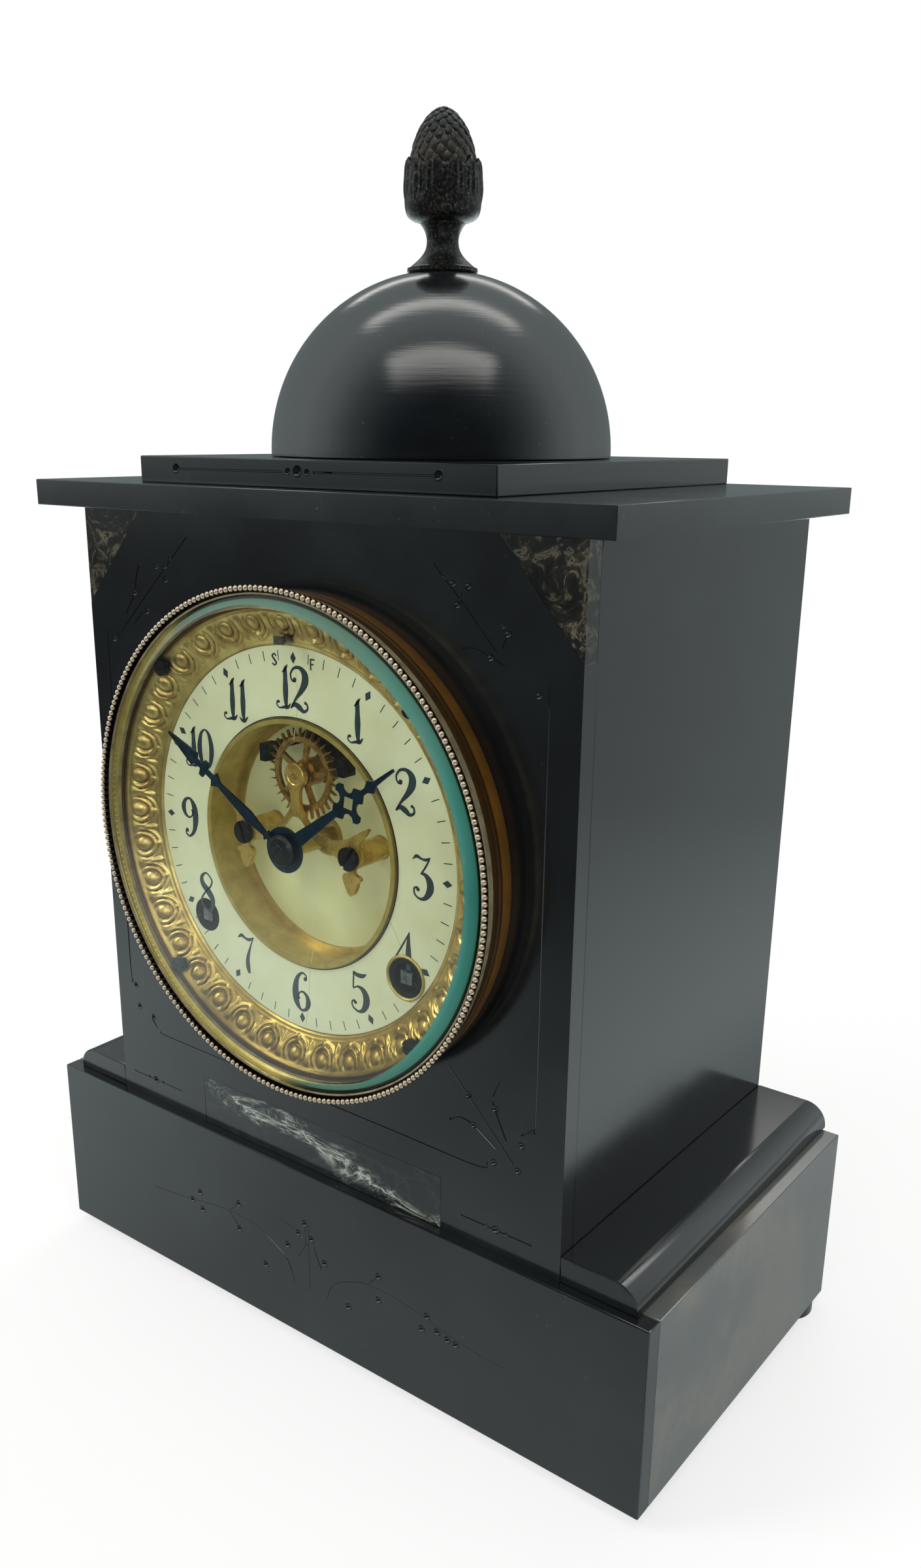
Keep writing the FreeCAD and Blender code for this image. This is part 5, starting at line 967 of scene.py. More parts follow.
form = bmesh.new()
for count in range(BEADS):
    angle = 2 * math.pi * count / BEADS
    spot = on_dial(math.cos(angle) * BEAD_CIRCLE, BEAD_AHEAD, math.sin(angle) * BEAD_CIRCLE)
    place = Matrix.Translation(spot)
    bmesh.ops.create_icosphere(form, subdivisions=2, radius=BEAD_R * 0.99 * MM, matrix=place)
beads = show("bead_row", mesh_of(form, "bead_row"))
dress(beads, "bronze", "sash", rubbed_beads())
ease_shading(beads, math.radians(80))
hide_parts("bead_ring")
# painted shade: a thin dark ring behind the beads darkens the gaps between them
gap_shade_ring = [(74.5, 13.5), (76.3, 13.5), (76.2, 13.62), (74.6, 13.62)]
turned("bead_gap_painted_shade", gap_shade_ring, "bronze", body="sash", sides=200, material=dark_bronze)
print(BEADS, "beads")

# %% [markdown]
# The sash's glass is ground to a broad bevel. Plate glass holds a little iron, so a long way
# through it looks green. The sea green that internal reflection shows in the bevel on the viewer's
# side is a painted reflection fixed to the glass's right side, with painted shade where the bevel
# sits in the sash; on the other side it stays clear and bends the brass behind it.

# %% Bevelled glass
glass_low, glass_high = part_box("sash_glass")
GLASS_R = (glass_high[0] - glass_low[0]) / 2 / MM
GLASS_BACK, GLASS_FRONT = depths("sash_glass")
FLAT_R = 70.3
GREEN_R = 68.5
EDGE_AHEAD = 12.7
RIGHTWARD, A_LITTLE_UP = 0.96, 0.28


def green_edge(tree):
    """The bevel's painted green reflection and how strongly it covers, on the right outside the flat, with
    painted shade where it sits in the sash.
    """
    radius = from_axis(tree)
    x, _, z = axes(tree)
    across = times(minus(x, DIAL.x), RIGHTWARD / MM)
    upward = times(minus(z, DIAL.z), A_LITTLE_UP / MM)
    side = maths("DIVIDE", plus(across, upward), radius)
    turned_to = share(side, -0.38, 0.0, 0.0, 0.93, interpolation_type="SMOOTHSTEP")
    narrower = share(side, 0.15, 0.75, 2.6, 0.0)
    beyond = share(minus(radius, narrower), GREEN_R - 0.1, GREEN_R + 0.4)
    high = maths("DIVIDE", times(upward, 1 / A_LITTLE_UP), radius)
    streak = times(minus(cloud(tree, 22, detail=2), 0.5), 0.5)
    shade = plus(times(plus(high, streak), 0.5), 0.5)
    tones = (
        (0.0, "#4C7A6C"), (0.2, "#3F7F73"), (0.5, "#2F6E65"),
        (0.76, "#3D7A6F"), (0.9, "#557F71"), (1.0, "#5D7A6B"),
    )
    sea = ramp(shade, *tones)
    # painted shade: the bevel's outer part is darkened where it sits in the sash
    tones = (0.0, "#FFFFFF"), (0.7, "#D8E4DC"), (0.76, "#6E6238"), (0.8, "#15130D"), (1.0, "#1B160D")
    seat = ramp(share(radius, GREEN_R, GLASS_R), *tones)
    return blend("MULTIPLY", sea, seat), times(turned_to, beyond)


bevelled_glass_painted_edge = plate_glass("bevelled_plate_glass_painted_green_reflection", green_edge)
glass_profile = [
    (0.0, GLASS_BACK), (GLASS_R, GLASS_BACK), (GLASS_R, EDGE_AHEAD),
    (FLAT_R, GLASS_FRONT), (0.0, GLASS_FRONT),
]
pane = turned("sash_glass_bevelled", glass_profile, "glass", body="sash", sides=256, material=bevelled_glass_painted_edge)
ease_shading(pane, math.radians(8))
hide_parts("sash_glass")

# %% [markdown]
# Behind the glass the sash has a flat lip of bright brass, that the clear side of the bevel shows.

# %% Sash lip
LIP = [(71.1, 11.2), (74.5, 11.2), (74.5, 11.42), (71.25, 11.42), (71.1, 11.32)]
turned("sash_lip_facing", LIP, "brass", body="sash", sides=200)

# %% [markdown]
# ## Embossed ring
# A dished ring of thin brass, stamped with egg and dart, fills the space between the enamel and
# the sash. Its relief is a height over a cone, worked out for each point from where it lies in its
# egg's sector, so all the eggs repeat exactly as a stamp makes them.

# %% Egg and dart
INNER_R, INNER_AHEAD, OUTER_R, OUTER_AHEAD = 59.25, 3.1, 71.0, 9.6
EGGS = 36
AROUND = 34
ACROSS = 30
EGG_CIRCLE = 65.0
RELIEF_SHARE = 0.8
RELIEF_SUNK = 0.55


def hump(distance, width):
    """A soft ridge."""
    return math.exp(-((distance / width) ** 2))


def fades_past(distance, end, steepness):
    """One before the end and nothing beyond it, with a soft step."""
    return 1 / (1 + math.exp((distance - end) * steepness))


def egg_and_dart(along, across):
    """The stamp's height in millimetres; along is from the sector's middle, across from inside."""
    ring = math.hypot(along / 2.55, (across - 7.9) / 2.75)
    height = 1.2 * math.sqrt(max(0.0, 1 - (ring * 1.2) ** 2))
    frames = 1.1 * hump(ring - 1.38, 0.18) + 0.6 * hump(ring - 1.92, 0.14)
    height += frames * fades_past(across, 9.6, 2.2)
    dart = hump(5.65 - abs(along), 0.35 + 0.09 * max(0.0, across - 2.0))
    height += 0.8 * dart * fades_past(across, 10.4, 3) * fades_past(-across, -3.2, 3)
    height += 0.5 * hump(across - 12.2, 0.45)
    height += 0.42 * hump(across - 0.7, 0.35) + 0.3 * hump(across - 1.9, 0.3)
    return height + 0.55 * hump(along, 0.5) * hump(across - 3.3, 0.8)


def embossed_ring():
    """Points and faces of the stamped cone, a row of points across it at each step round."""
    rise, run = OUTER_AHEAD - INNER_AHEAD, OUTER_R - INNER_R
    slant = math.hypot(run, rise)
    total = EGGS * AROUND
    sector = 2 * math.pi / EGGS
    width = ACROSS + 1
    points, faces = [], []
    for step in range(total):
        angle = 2 * math.pi * step / total
        within = (angle + sector / 2) % sector - sector / 2
        for row in range(width):
            part = row / ACROSS
            height = egg_and_dart(within * EGG_CIRCLE, part * slant) * RELIEF_SHARE
            radius = INNER_R + run * part - rise / slant * height
            ahead = INNER_AHEAD + rise * part + run / slant * height - RELIEF_SUNK
            points.append(on_dial(math.sin(angle) * radius, ahead, math.cos(angle) * radius))
        here, after = step * width, (step + 1) % total * width
        faces += [[here + row, here + row + 1, after + row + 1, after + row] for row in range(ACROSS)]
    return points, faces


def stamped_brass():
    """Bright on the crowns, with brown patina and painted shade in the hollows, painted shade toward the rim,
    and darker toward the foot.
    """
    material, tree, shader = finish("stamped_brass", "#C49A55", Metallic=0.92)
    # ambient occlusion darkens the hollows: brown patina there, together with painted shade
    hollow = add(tree, "AmbientOcclusion", {"Distance": 1.8 * MM}, samples=12).outputs["AO"]
    blot = cloud(tree, 6, detail=5)
    tone = ramp(hollow, (0.4, "#241809"), (0.66, "#8C6C34"), (0.88, "#E4C67E"))
    stain = ramp(blot, (0.4, "#FFFFFF"), (0.72, "#A88A6A"))
    # painted shade: darker toward the ring's rim, next to the sash
    rim_painted_shade = ramp(share(from_axis(tree), 68.6, 70.4), (0.0, "#FFFFFF"), (1.0, "#86704C"))
    # the ring is darker and greyer toward its foot
    height = share(axes(tree)[2], DIAL.z - 70 * MM, DIAL.z - 25 * MM)
    foot = ramp(height, (0.0, "#A5A088"), (0.6, "#D6CFB4"), (1.0, "#FFFFFF"))
    for layer, factor in ((stain, 0.6), (rim_painted_shade, 1.0), (foot, 1.0)):
        tone = blend("MULTIPLY", tone, layer, factor)
    wire(shader, Base_Color=tone, Roughness=spread(blot, 0.2, 0.42))
    relief(shader, cloud(tree, 0.5, detail=3), 0.02)
    return material


stamped = stamped_brass()
egg_ring = keep("embossed_ring_stamped", *embossed_ring(), "bronze", material=stamped)
thicken(egg_ring, 0.3)
face_outward(egg_ring)
ease_shading(egg_ring, math.radians(70))
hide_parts("embossed_ring")
brim = [(70.6, 8.8), (70.9, 9.3), (71.1, 9.6), (72.2, 9.6), (72.2, 2.3), (71.8, 2.3), (71.8, 9.0)]
turned("embossed_ring_brim", brim, "bronze", sides=160, material=stamped)

# %% [markdown]
# ## Printing on the enamel
# The numerals, minute strokes and diamonds are fired on in blue-black. They are drawn here as pen
# strokes: each is a line with a width at each point, swept smooth, and given the few hundredths of
# a millimetre that fired paint has.

# %% Pen strokes
PAINT = 0.05
ENAMEL_FRONT = depths("enamel_chapter_ring")[1]
PEN = 1.18
ink = fired_enamel("blue_black_enamel_paint", "#27343B", "#1D272D", rough=0.3)


class Print:
    """Points and faces of printing that lies on the enamel."""

    def __init__(self):
        self.points = []
        self.faces = []

    def patch(self, outline):
        """A flat closed shape, as a thin block."""
        start, count = len(self.points), len(outline)
        for ahead in (ENAMEL_FRONT - 0.02, ENAMEL_FRONT + PAINT):
            self.points += [on_dial(x, ahead, z) for x, z in outline]
        self.faces.append(list(range(start + count - 1, start - 1, -1)))
        self.faces.append(list(range(start + count, start + 2 * count)))
        for step in range(count):
            after = (step + 1) % count
            self.faces.append([start + step, start + after, start + count + after, start + count + step])

    def stroke(self, line, steps=7):
        """A pen stroke through (x, z, half width), as a chain of patches."""
        fine = smooth_line(line, steps) if len(line) > 2 else line
        sides = []
        for count, (x, z, half) in enumerate(fine):
            before, after = fine[max(count - 1, 0)], fine[min(count + 1, len(fine) - 1)]
            run = Vector((after[0] - before[0], after[1] - before[1]))
            across = Vector((-run.y, run.x)).normalized() * max(half * PEN, 0.02)
            sides.append(((x + across.x, z + across.y), (x - across.x, z - across.y)))
        for (a, b), (c, d) in zip(sides, sides[1:]):
            self.patch([a, c, d, b])

    def dot(self, x, z, radius, sides=14):
        """A round ball at the end of a stroke."""
        angles = [2 * math.pi * k / sides for k in range(sides)]
        self.patch([(x + math.cos(a) * radius, z + math.sin(a) * radius) for a in angles])

    def diamond(self, x, z, angle, long, wide):
        """A diamond whose long axis points outwards."""
        out = Vector((math.sin(angle), math.cos(angle)))
        side = Vector((out.y, -out.x))
        middle = Vector((x, z))
        corners = [middle + out * long, middle + side * wide, middle - out * long, middle - side * wide]
        self.patch([tuple(c) for c in corners])


# %% [markdown]
# Each figure is a set of strokes in a box a hundred units high, each point with its half width.
# Thick and thin parts follow the way that a broad pen draws old figures, with balls at the ends of
# the hooks.

# %% Figures
STEM = [
    [(3, 100, 0.5), (0, 88, 5), (0, 70, 5.5), (0, 45, 7), (0, 20, 5.5), (2, 3, 3)],
    [(-10, 83, 0.8), (0, 90, 3), (8, 102, 1)],
    [(15, 14, 1), (6, 4, 3.5), (-6, 3, 3), (-20, 0, 1.6), (-29, 7, 1.6), (-26, 16, 2)],
]
PLAIN_STEM = [*STEM[:2], [(15, 14, 1), (5, 3, 3.5), (-5, 3, 3), (-13, 10, 1)]]
SIX = [(16, 84, 2), (15, 95, 2), (2, 99, 2.5), (-14, 82, 5), (-21, 50, 8.5), (-18, 20, 7.5), (-4, 1, 3),
       (13, 6, 4), (21, 24, 6.5), (16, 42, 4.5), (2, 50, 2.2), (-10, 42, 2), (-12, 30, 3)]
FIGURES = {
    "0": [
        [(0, 99, 1.5), (-14, 86, 4), (-21, 50, 6.8), (-14, 14, 4.5), (0, 1, 1.5), (14, 14, 4.5),
         (21, 50, 6.8), (14, 86, 4.5), (0, 99, 1.5)],
    ],
    "1": STEM,
    "|": PLAIN_STEM,
    "2": [
        [(-8, 66, 2), (-19, 68, 2), (-23, 82, 2.2), (-12, 96, 2.8), (6, 98, 4), (20, 86, 7.5),
         (21, 68, 8.5), (10, 48, 6), (-8, 27, 3), (-23, 6, 1.8)],
        [(-25, 3, 1.2), (-13, 13, 4.5), (2, 8, 6), (15, 0, 3.5), (27, 7, 2.5), (25, 20, 2)],
    ],
    "3": [
        [(-27, 88, 0.8), (-16, 97, 3.5), (-2, 93, 2.2), (10, 93, 3), (22, 100, 1)],
        [(20, 97, 1.8), (10, 78, 2), (-2, 60, 2)],
        [(-5, 59, 1.5), (8, 58, 4), (20, 45, 7.5), (22, 26, 8), (10, 6, 5), (-6, 0, 2.5), (-21, 8, 2),
         (-22, 22, 2.2), (-12, 26, 2)],
    ],
    "4": [
        [(14, 100, 1), (-4, 68, 2), (-26, 32, 1.8)],
        [(-28, 30, 2), (0, 30, 2.2), (28, 32, 2.5)],
        [(13, 100, 1.2), (11, 75, 4.5), (11, 40, 7), (11, 12, 5), (12, 2, 3.5)],
        [(-6, 1, 1), (10, 4, 3), (27, 1, 1)],
    ],
    "5": [
        [(-19, 97, 3), (-6, 92, 4.5), (10, 93, 4.5), (22, 100, 1)],
        [(-17, 97, 2), (-18, 76, 2), (-19, 56, 1.8)],
        [(-19, 55, 1.5), (-4, 63, 2.5), (14, 55, 6.5), (22, 34, 8.5), (14, 10, 6), (-2, 0, 2.8),
         (-20, 7, 2), (-23, 20, 2), (-14, 26, 2)],
    ],
    "6": [SIX],
    "7": [
        [(-30, 88, 0.8), (-17, 97, 4), (-4, 92, 2.8), (10, 91, 3.5), (25, 100, 1)],
        [(24, 98, 1.4), (13, 72, 2.2), (3, 40, 5), (3, 15, 6), (7, 0, 3)],
    ],
    "8": [
        [(15, 90, 2), (0, 99, 2), (-16, 87, 4.5), (-14, 68, 7), (6, 50, 8.5), (20, 30, 7), (15, 7, 3.8),
         (0, 0, 2), (-19, 12, 2.5), (-19, 30, 2.5), (-3, 50, 2), (13, 65, 2.2), (20, 80, 2.2),
         (15, 90, 2)],
    ],
    "9": [[(-x, 100 - z, w) for x, z, w in SIX]],
}
BALLS = {
    "1": [(-23, 14, 3.8)],
    "2": [(-11, 70, 5.5), (21, 20, 4)],
    "3": [(-12, 21, 5)],
    "5": [(-13, 21, 5)],
    "6": [(12, 85, 5.5), (-9, 31, 3)],
    "9": [(-12, 15, 5.5), (9, 69, 3)],
}
HOURS = {hour: [(str(hour), 0)] for hour in range(1, 10)}
HOURS[1] = [("1", 4)]
HOURS |= {10: [("1", -22), ("0", 20)], 11: [("1", -15), ("|", 20)], 12: [("1", -26), ("2", 14)]}
FIGURE_HIGH = 12.6
FIGURE_CIRCLE = 46.9

printing = Print()


def write(strokes, middle, high, shift=0):
    """Strokes in hundredths of a figure's height, drawn about a middle in millimetres."""
    unit = high / 100
    right, up = middle[0] + shift * unit, middle[1] - 50 * unit
    for line in strokes:
        printing.stroke([(right + x * unit, up + z * unit, w * unit) for x, z, w in line])


for hour, figures in HOURS.items():
    angle = math.radians(hour * 30)
    middle = math.sin(angle) * FIGURE_CIRCLE, math.cos(angle) * FIGURE_CIRCLE
    unit = FIGURE_HIGH / 100
    for figure, shift in figures:
        write(FIGURES[figure], middle, FIGURE_HIGH, shift)
        for x, z, radius in BALLS.get(figure, ()):
            printing.dot(middle[0] + (x + shift) * unit, middle[1] + (z - 50) * unit, radius * unit)

# %% Minute strokes, diamonds and the regulator's letters
MINUTE_IN, MINUTE_OUT, MINUTE_HALF = 54.6, 57.5, 0.115
DIAMOND_CIRCLE, DIAMOND_LONG, DIAMOND_WIDE = 55.6, 1.7, 1.1
for minute in range(60):
    angle = math.radians(minute * 6)
    out = Vector((math.sin(angle), math.cos(angle)))
    if minute % 5 == 0:
        printing.diamond(*out * DIAMOND_CIRCLE, angle, DIAMOND_LONG, DIAMOND_WIDE)
    else:
        printing.stroke([(*out * MINUTE_IN, MINUTE_HALF), (*out * MINUTE_OUT, MINUTE_HALF)])
LETTER_HIGH = 3.2
LETTER_S = [[(25, 82, 6), (0, 100, 7), (-25, 80, 8), (0, 50, 9), (25, 22, 8), (0, 0, 7), (-27, 16, 6)]]
LETTER_F = [[(-20, 0, 7), (-20, 100, 7)], [(-20, 96, 6), (28, 96, 6)], [(-20, 52, 6), (15, 52, 6)]]
write(LETTER_S, (-7.4, 54.4), LETTER_HIGH)
write(LETTER_F, (7.4, 54.4), LETTER_HIGH)
CRACKS = (
    [(5.2, -31.5), (3.4, -41.0), (3.0, -49.0), (1.4, -57.6)],
    [(31.5, -11.0), (36.5, -17.5), (40.6, -25.0)],
    [(-0.6, 31.5), (1.4, 44.0), (0.4, 57.0)],
)
hairs = Print()
for crack in CRACKS:
    hairs.stroke([(x, z, 0.07) for x, z in crack])
crack_fill = fired_enamel("stained_hairline_crack", "#B9B48C", "#A59D70", rough=0.5)
keep("dial_hairline_cracks", hairs.points, hairs.faces, "enamel", material=crack_fill, smooth=False)
keep("dial_printing", printing.points, printing.faces, "enamel", material=ink, smooth=False)
print("printing has", len(printing.faces), "faces")

# %% [markdown]
# ## The escapement's cock
# The cock is sawn from brass sheet in a free curve: a round boss over the escape wheel's pivot, two
# arms to its screws, horns, and a leaf that hangs below each screw. Its outline is drawn as one
# smooth line on one side and mirrored.

# %% Cock
RIGHT_SIDE = [
    (2.6, 18.4), (1.75, 16.6), (1.9, 12.0), (2.8, 10.2), (4.4, 8.2), (6.6, 6.3), (9.4, 4.9),
    (13.5, 4.3), (17.2, 5.0), (20.4, 6.1), (23.2, 7.9), (25.6, 9.3), (27.6, 10.3), (27.9, 9.4),
    (26.4, 7.6), (24.9, 5.6), (24.6, 3.0), (24.9, 1.2), (24.2, -1.2), (22.6, -3.2), (22.9, -4.3),
    (24.6, -4.9), (24.9, -5.8), (23.9, -6.6), (23.4, -8.4), (22.4, -10.2), (21.2, -11.0), (20.0, -10.2),
    (19.0, -8.2), (18.2, -6.0), (18.6, -4.6), (19.9, -4.0), (19.6, -2.9), (18.0, -1.4), (15.0, 0.2),
    (11.5, 1.2), (8.4, 2.2), (6.2, 4.2), (4.2, 6.4), (2.4, 8.2), (0.9, 9.0),
]
COCK_BACK, COCK_FRONT = 2.1, 3.6
BOSS_STEPS = 40
BOSS_UP = 21.3
BOSS_R = 3.85
NECK_HALF = 2.6
cock_line = smooth_line(RIGHT_SIDE, 3)
cock_outline = cock_line + [(-x, z) for x, z in reversed(cock_line)]
gap = math.asin(NECK_HALF / BOSS_R)
for step in range(BOSS_STEPS + 1):
    angle = -math.pi / 2 - gap - (2 * math.pi - 2 * gap) * step / BOSS_STEPS
    cock_outline.append((math.cos(angle) * BOSS_R, BOSS_UP + math.sin(angle) * BOSS_R))
slab_from(
    "cock_sawn", cock_outline, COCK_BACK, COCK_FRONT - COCK_BACK, "brass",
    ease_mm=0.3, material=sawn_brass, replaces="escapement_cock",
)
boss_profile = [
    (1.15, 1.6), (3.6, 1.6), (3.85, 1.9), (3.85, 3.5), (3.6, 3.8),
    (2.7, 3.8), (2.3, 3.45), (1.3, 3.2), (1.15, 3.2),
]
turned("cock_boss_turned", boss_profile, "brass", on_dial(0, 0, BOSS_UP), sides=64, material=sawn_brass)

# %% [markdown]
# Two dark cheese-head screws hold the cock. A head is two halves on a disc, so the slot between
# them is a real one.

# %% Screw heads and pillars
SCREW_X, SCREW_Z, SCREW_R = 21.2, 0.5, 3.6
SLOT_HALF = 0.4
SLOT_DEEP = 0.8
PILLAR_BACK, HEAD_FRONT = depths("cock_pillars")


def half_head(x, z, turn):
    """One half of a slotted head, as an outline."""
    start = math.asin(SLOT_HALF / SCREW_R)
    angles = [turn + start + (math.pi - 2 * start) * k / 20 for k in range(21)]
    return [(x + math.cos(a) * SCREW_R, z + math.sin(a) * SCREW_R) for a in angles]


for side, x, slot in (("left", -SCREW_X, 1.95), ("right", SCREW_X, 0.95)):
    for half in (0, 1):
        outline = half_head(x, SCREW_Z, slot + math.pi * half)
        name = f"cock_screw_{side}_{half + 1}"
        slab_from(name, outline, COCK_FRONT, HEAD_FRONT - COCK_FRONT, "dark_steel", ease_mm=0.25)
    spot = on_dial(x, 0, SCREW_Z)
    seat_r, seat_front = SCREW_R - 0.1, HEAD_FRONT - SLOT_DEEP
    seat = [(0.0, COCK_FRONT), (seat_r, COCK_FRONT), (seat_r, seat_front), (0.0, seat_front)]
    turned(f"cock_screw_{side}_seat", seat, "dark_steel", spot, sides=40)
    post = [
        (0.0, PILLAR_BACK), (SCREW_R, PILLAR_BACK), (SCREW_R, COCK_BACK - 0.3),
        (SCREW_R - 0.3, COCK_BACK), (0.0, COCK_BACK),
    ]
    turned(
        f"cock_pillar_{side}_turned", post, "brass", spot,
        sides=48, material=sawn_brass, replaces="cock_pillars",
    )

# %% [markdown]
# The ferrule is a thin bright ring round a hole whose darkness is painted: a dark iron ring fills it
# as painted shade, and the winding squares' ends are bright steel on arbors painted dark. The enamel
# disc's middle hole has a thin brass edge, and the arbor ends in a small dark pin before the hands.

# %% Winding holes, disc rim and arbor end
low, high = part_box("winding_ferrule")
HOLE = Vector(((low[0] + high[0]) / 2, face_y, (low[2] + high[2]) / 2))
OTHER_HOLE = Vector((-HOLE.x, HOLE.y, HOLE.z))
DISC_FRONT = depths("centre_disc")[1]
WASHER_FRONT = depths("hand_washer")[1]
ARBOR_FRONT = depths("centre_wheel")[1] + 0.08


def above(front, *profile):
    """A profile whose heights are counted from a front."""
    return [(radius, front + height) for radius, height in profile]


ring = above(ENAMEL_FRONT, (6.0, 0), (7.0, 0), (6.95, 0.35), (6.5, 0.55), (6.1, 0.35))
turned("winding_ferrule_spun", ring, "brass", HOLE, sides=72, replaces="winding_ferrule")
# painted shade: dark rings fill the winding holes round the arbors
hole_shade_ring = above(ENAMEL_FRONT, (4.4, -0.5), (6.1, -0.5), (6.1, 0.06), (4.4, 0.06))
turned("winding_hole_painted_shade", hole_shade_ring, "dark_steel", HOLE, sides=72, material=japanned_iron)
hole_shade_ring = above(ENAMEL_FRONT, (3.3, -0.5), (5.45, -0.5), (5.45, -0.2), (3.3, -0.2))
turned("strike_hole_painted_shade", hole_shade_ring, "dark_steel", OTHER_HOLE, sides=72, material=japanned_iron)
for node in ("time_winding_arbor", "strike_winding_arbor"):
    mesh = frame["nodes"][node].data
    front = min(point.co.y for point in mesh.vertices)
    end_face = [point.co / MM for point in mesh.vertices if point.co.y < front + 0.01 * MM]
    spots = {(round(point.x, 2), round(point.z, 2)) for point in end_face}
    x, z = (sum(part) / len(spots) for part in zip(*spots))
    around = sorted(spots, key=lambda spot: math.atan2(spot[1] - z, spot[0] - x))
    outline = [(x + (a - x) * 0.97, z - DIAL.z / MM + (b - z) * 0.97) for a, b in around]
    ahead = (face_y - front) / MM
    slab_from(f"{node}_end", outline, ahead - 0.2, 0.26, "steel", BODY_OF[node], ease_mm=0)
well_line = above(ENAMEL_FRONT, (38.15, 0), (38.5, 0), (38.5, 0.05), (38.15, 0.05))
turned("enamel_inner_shadow_line", well_line, "enamel", sides=160, material=dark_bronze)
rim = above(DISC_FRONT, (5.45, 0), (6.3, 0), (6.2, 0.18), (5.6, 0.25))
turned("centre_disc_rim", rim, "brass", sides=64)
tip = [
    (0.0, WASHER_FRONT - 0.6), (2.0, WASHER_FRONT - 0.6), (2.0, ARBOR_FRONT - 0.3),
    (1.7, ARBOR_FRONT), (0.0, ARBOR_FRONT),
]
turned("hand_arbor_tip", tip, "dark_steel", body=BODY_OF["minute_hand"], sides=32)
print("arbor's end is", round(ARBOR_FRONT, 2), "mm ahead, the glass", round(GLASS_BACK, 2))

# %% [markdown]
# ## Light and ground
# The clock stands on a white sheet in a soft studio. The sheet is white to the camera and keeps
# the shadow. In the slate's reflections it is bright only beside and behind the clock and fades
# toward the front, which is why the lower slabs look greyer than the face.


# %% The sheet
def white_sheet():
    """White with a soft shadow to the camera, and uneven to reflected rays."""
    material, tree, shader = finish("white_paper_sheet", "#F2F2F0", Roughness=0.9)
    path = add(tree, "LightPath").outputs
    x, y, _ = axes(tree)
    length = length_of(place_of(tree))
    left = times(share(x, -0.28, -0.06, 0.6, 0.0), share(y, -0.5, -0.3, 0.1, 1.0))
    front = plus(share(y, -0.45, -0.1, 0.02, 0.5), left)
    beside = times(share(x, 0.1, 0.2), share(length, 0.2, 1.0, 0.92, 0.3))
    behind = times(share(y, 0.62, 0.9, 0.0, 2.6), share(x, 0.0, 0.25, 1.0, 0.0))
    bright = larger(larger(front, beside), behind)
    mirrored = add(tree, "Emission", {"Color": tint("#E6F3F4"), "Strength": bright})
    glow = add(tree, "Emission", {"Color": tint("#FFFFFF"), "Strength": 1.0})
    seen = either(share(length, 0.15, 0.45, 0.7, 1.0), shader, glow)
    camera_ray = larger(path["Is Camera Ray"], path["Is Transmission Ray"])
    plain = either(camera_ray, shader, seen)
    out = either(path["Is Glossy Ray"], plain, mirrored)
    wire(tree.nodes["Material Output"], Surface=out)
    return material


FLOOR = 6.0
mesh = bpy.data.meshes.new("sheet")
corners = [(-FLOOR, -FLOOR, 0), (FLOOR, -FLOOR, 0), (FLOOR, FLOOR, 0), (-FLOOR, FLOOR, 0)]
mesh.from_pydata(corners, [], [(0, 1, 2, 3)])
floor = show("sheet", mesh)
floor.data.materials.append(white_sheet())


# %% The room
FRONT = (LOOKS * -1).xy.normalized()
WALLS = (
    (0.0, "#6C7677"), (0.2, "#BEC8C8"), (0.38, "#E8F2F2"), (0.55, "#E0EAEA"),
    (0.72, "#98A4A5"), (0.86, "#4C5558"), (0.93, "#14181B"),
)
# each lamp: where it starts, peaks and ends over the room in degrees, its strength and half length
LAMPS = ((40, 67, 73, 2.7, 0.52), (96, 109, 114, 2.8, 0.54), (140, 147, 151, 2.6, 0.36))


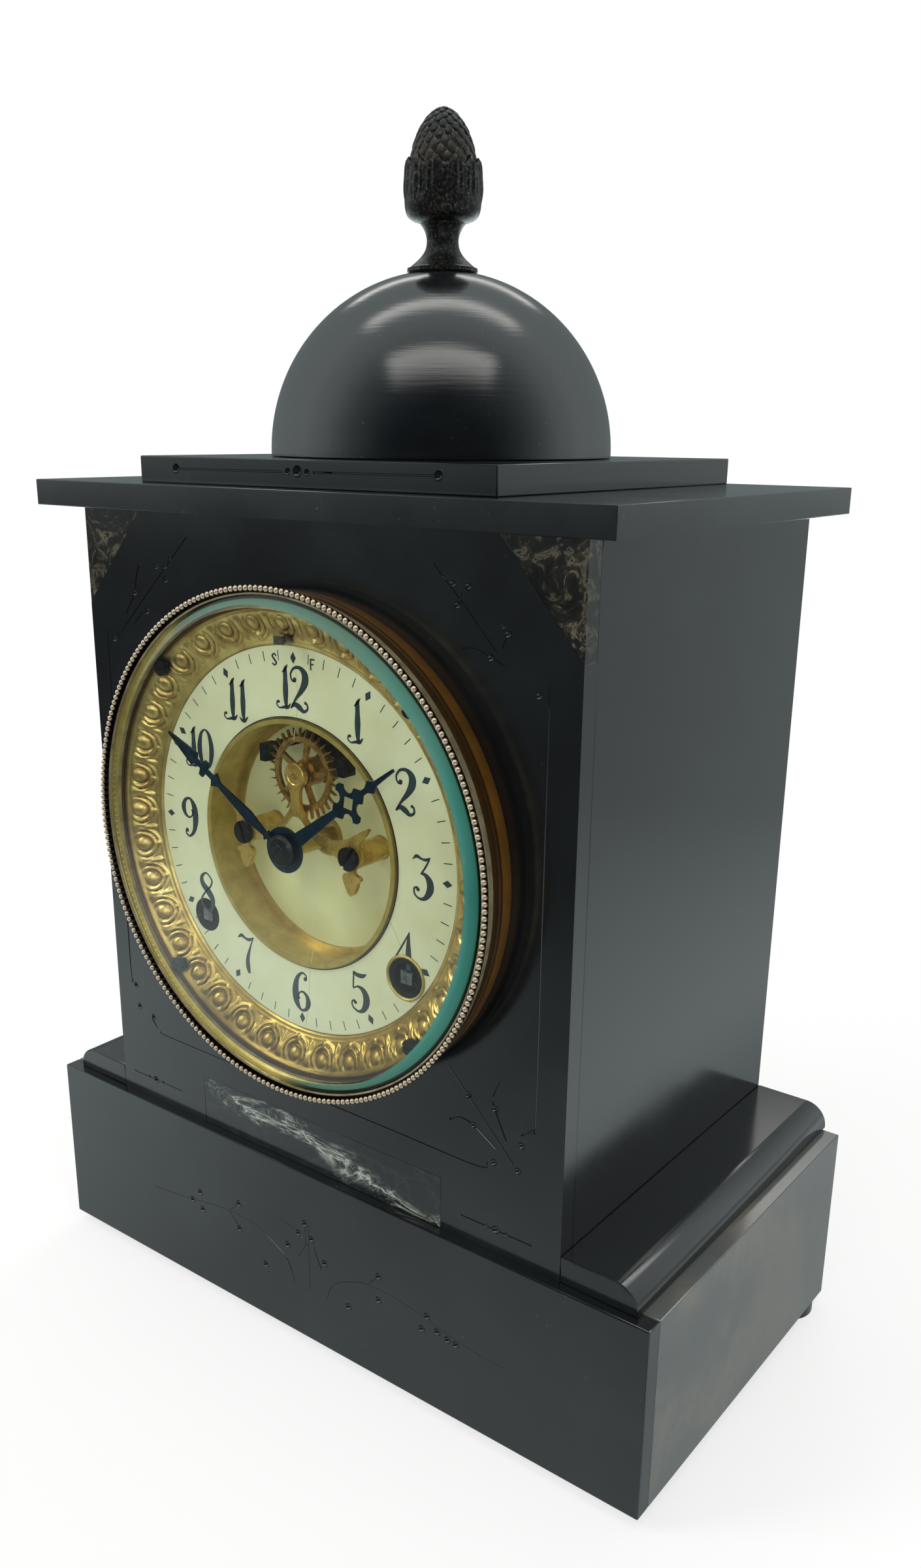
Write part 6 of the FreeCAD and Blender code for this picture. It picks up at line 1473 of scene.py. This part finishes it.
def room():
    """White to the camera; in reflections pale walls, a dark front and three long lamps overhead."""
    world = bpy.data.worlds.new("soft_room")
    bpy.context.scene.world = world
    world.use_nodes = True
    tree = world.node_tree
    tree.nodes.clear()
    path = add(tree, "LightPath").outputs
    x, y, z = axes(tree, add(tree, "TexCoord").outputs["Generated"])
    ahead = plus(times(x, FRONT.x), times(y, FRONT.y))
    across = plus(times(x, -FRONT.y), times(y, FRONT.x))
    walls = ramp(share(ahead, -1.0, 1.0), *WALLS)
    lift = maths("ARCTAN2", z, ahead)
    narrow = maths("ABSOLUTE", across)
    lamps = None
    for low, peak, high, strength, reach in LAMPS:
        low, peak, high = (math.radians(part) for part in (low, peak, high))
        rise = share(lift, low, peak, interpolation_type="SMOOTHSTEP")
        fall = share(lift, peak, high, strength, 0.0)
        ends = share(narrow, reach * 0.86, reach * 1.03, 1.0, 0.0)
        lamp = times(times(rise, fall), ends)
        lamps = lamp if lamps is None else plus(lamps, lamp)
    white = add(tree, "Background", {"Color": tint("#FFFFFF"), "Strength": 1.0})
    soft = add(tree, "Background", {"Color": tint("#F6F8FA"), "Strength": 0.55})
    gleam = add(tree, "Background", {"Color": walls, "Strength": 1.0})
    strips = add(tree, "Background", {"Color": tint("#FFFBF6"), "Strength": lamps})
    both = add(tree, "AddShader", {0: gleam, 1: strips})
    camera_ray = larger(path["Is Camera Ray"], path["Is Transmission Ray"])
    lit = either(path["Is Glossy Ray"], soft, both)
    wire(add(tree, "OutputWorld"), Surface=either(camera_ray, lit, white))


room()


# %% The lamps
def softbox(name, place, size, watts, colour="#FFFFFF"):
    """A rectangular soft lamp that faces the dial."""
    lamp = bpy.data.lights.new(name, "AREA")
    lamp.shape = "RECTANGLE"
    lamp.size, lamp.size_y = size
    lamp.energy = watts
    lamp.color = tint(colour)[:3]
    thing = show(name, lamp)
    thing.visible_glossy = False
    aim = DIAL - Vector(place)
    thing.matrix_world = Matrix.Translation(place) @ aim.to_track_quat("-Z", "Y").to_matrix().to_4x4()


softbox("key_left", (-0.9, -1.0, 1.1), (0.5, 0.9), 12)
softbox("overhead", (0.15, -0.15, 1.35), (0.25, 1.1), 5, "#FFFDF8")
softbox("fill_front", (0.5, -1.5, 0.75), (0.9, 0.9), 5)
softbox("fill_right", (1.25, -0.7, 0.6), (0.9, 0.9), 4)
softbox("back", (-0.3, 1.2, 1.0), (0.8, 0.8), 6)
